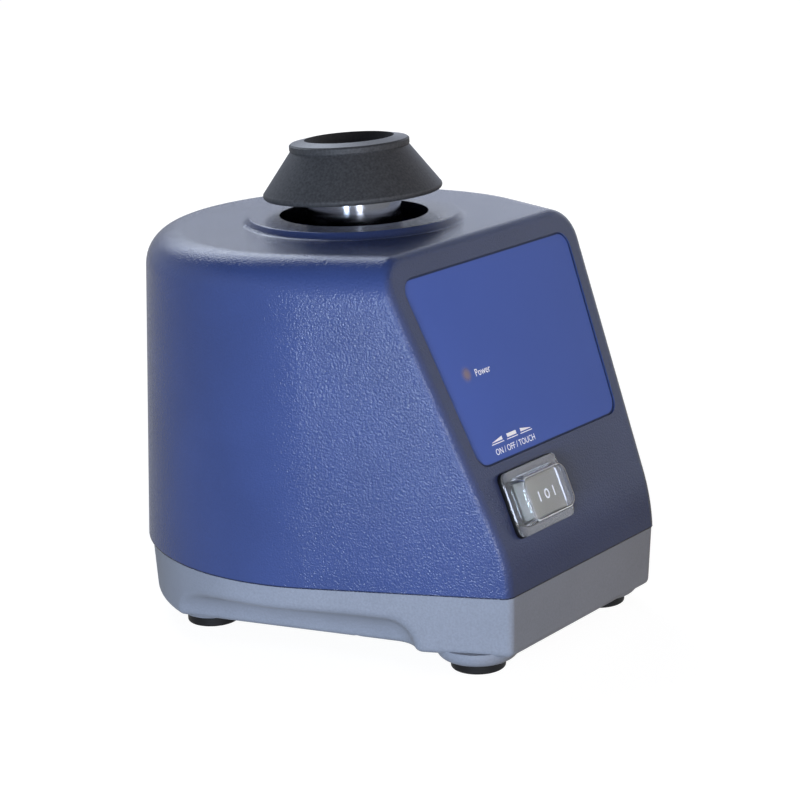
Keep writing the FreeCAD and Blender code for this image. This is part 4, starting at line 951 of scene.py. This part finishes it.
class MIXER_OT_stage(bpy.types.Operator):
    """Make the white floor, the lights and the camera"""

    bl_idname = "mixer.stage"
    bl_label = "Stage"

    def execute(self, context):
        self.floor()
        self.surround(context.scene)
        for lamp in LAMPS:
            self.lamp(*lamp)
        self.camera(context.scene)
        context.scene.view_settings.view_transform = "Standard"
        return {"FINISHED"}

    def floor(self):
        """A wide white sheet under the feet."""
        half = FLOOR_HALF
        corners = [(-half, -half, 0), (half, -half, 0), (half, half, 0), (-half, half, 0)]
        mesh = bpy.data.meshes.new("floor")
        mesh.from_pydata(corners, [], [(0, 1, 2, 3)])
        mesh.materials.append(white_stage())
        floor = bpy.data.objects.new("floor", mesh)
        bpy.context.scene.collection.objects.link(floor)

    def surround(self, scene):
        """White to the eye, a bright room with a dark ceiling in reflections, and dim as light."""
        world = bpy.data.worlds.new("White studio")
        scene.world = world
        world.use_nodes = True
        tree = world.node_tree
        tree.nodes.clear()
        output = add_node(tree, "ShaderNodeOutputWorld")
        path = add_node(tree, "ShaderNodeLightPath")
        shown = add_node(tree, "ShaderNodeMath", {
            0: path.outputs["Is Glossy Ray"], 1: path.outputs["Is Transmission Ray"]}, operation="MAXIMUM")
        direction = add_node(tree, "ShaderNodeTexCoord").outputs["Generated"]
        axes = add_node(tree, "ShaderNodeSeparateXYZ", {"Vector": direction})
        ceiling = add_node(tree, "ShaderNodeMapRange", {
            "Value": axes.outputs["Z"], "From Min": 0.42, "From Max": 0.75, "To Min": 1.0, "To Max": 0.1},
            interpolation_type="SMOOTHSTEP")
        aside = add_node(tree, "ShaderNodeVectorMath", {
            0: direction, 1: ROOM_RIGHT}, operation="DOT_PRODUCT")
        sweep = add_node(tree, "ShaderNodeMapRange", {
            "Value": aside.outputs["Value"], "From Min": -0.12, "From Max": 0.06,
            "To Min": 0.76, "To Max": 1.4}, interpolation_type="SMOOTHSTEP")
        room = add_node(tree, "ShaderNodeMath", {
            0: ceiling.outputs["Result"], 1: sweep.outputs["Result"]}, operation="MULTIPLY")
        dim = add_node(tree, "ShaderNodeMath", {
            0: room.outputs["Value"], 1: ROOM_AS_LIGHT}, operation="MULTIPLY")
        soft = add_node(tree, "ShaderNodeBackground", {"Color": WHITE, "Strength": dim.outputs["Value"]})
        behind = add_node(tree, "ShaderNodeMath", {
            0: room.outputs["Value"], 1: path.outputs["Is Transmission Ray"]}, operation="MAXIMUM")
        bright = add_node(tree, "ShaderNodeBackground", {
            "Color": ROOM_TINT, "Strength": behind.outputs["Value"]})
        white = add_node(tree, "ShaderNodeBackground", {"Color": WHITE, "Strength": 1.0})
        reflected = add_node(tree, "ShaderNodeMixShader", {
            0: shown.outputs["Value"], 1: soft.outputs["Background"], 2: bright.outputs["Background"]})
        mix = add_node(tree, "ShaderNodeMixShader", {
            0: path.outputs["Is Camera Ray"], 1: reflected.outputs["Shader"],
            2: white.outputs["Background"]})
        tree.links.new(mix.outputs["Shader"], output.inputs["Surface"])

    def lamp(self, name, place, size, watts, hex_colour, unseen_by):
        """A soft rectangular lamp turned to the part."""
        data = bpy.data.lights.new(name, "AREA")
        data.shape = "RECTANGLE"
        data.size, data.size_y = size
        data.energy = watts
        data.color = linear(hex_colour)[:3]
        lamp = bpy.data.objects.new(name, data)
        lamp.location = place
        aim = LAMP_AIM - Vector(place)
        lamp.rotation_euler = aim.to_track_quat("-Z", "Y").to_euler()
        if unseen_by:
            setattr(lamp, "visible_" + unseen_by, False)
        bpy.context.scene.collection.objects.link(lamp)

    def camera(self, scene):
        """The photograph's view."""
        ahead = Vector(CAMERA_AHEAD).normalized()
        level = Vector(CAMERA_LEVEL).normalized()
        upright = level.cross(ahead)
        right = level * math.cos(CAMERA_ROLL) - upright * math.sin(CAMERA_ROLL)
        up = upright * math.cos(CAMERA_ROLL) + level * math.sin(CAMERA_ROLL)
        turn = Matrix((right, up, -ahead)).transposed().to_4x4()
        data = bpy.data.cameras.new("Photo view")
        data.sensor_width = CAMERA_SENSOR
        data.sensor_fit = "HORIZONTAL"
        data.lens = CAMERA_LENS
        camera = bpy.data.objects.new("Photo view", data)
        camera.matrix_world = Matrix.Translation(CAMERA_PLACE) @ turn
        scene.collection.objects.link(camera)
        scene.camera = camera


class MIXER_PT_pieces(bpy.types.Panel):
    """Pieces of the mixer"""

    bl_idname = "MIXER_PT_pieces"
    bl_label = "Vortex mixer"
    bl_space_type = "VIEW_3D"
    bl_region_type = "UI"
    bl_category = "Mixer"

    def draw(self, context):
        for operator in OPERATORS:
            self.layout.operator(operator.bl_idname)
        for group in (context.scene.mixer_colours, context.scene.mixer_sizes):
            box = self.layout.box()
            for key in group.__annotations__:
                box.prop(group, key)


OPERATORS = (MIXER_OT_housing, MIXER_OT_base, MIXER_OT_panel, MIXER_OT_switch, MIXER_OT_head,
             MIXER_OT_feet, MIXER_OT_inlet, MIXER_OT_drive, MIXER_OT_stage)
CLASSES = (MixerColours, MixerSizes) + OPERATORS + (MIXER_PT_pieces,)


def register():
    """Make the pieces and their settings known to Blender."""
    for cls in CLASSES:
        bpy.utils.register_class(cls)
    bpy.types.Scene.mixer_colours = PointerProperty(type=MixerColours)
    bpy.types.Scene.mixer_sizes = PointerProperty(type=MixerSizes)


def unregister():
    """Take the pieces and their settings out again."""
    del bpy.types.Scene.mixer_sizes
    del bpy.types.Scene.mixer_colours
    for cls in reversed(CLASSES):
        bpy.utils.unregister_class(cls)


def main():
    """Finish every piece in order."""
    register()
    for operator in OPERATORS:
        getattr(bpy.ops.mixer, operator.bl_idname.split(".")[1])()


if __name__ == "__main__":
    main()
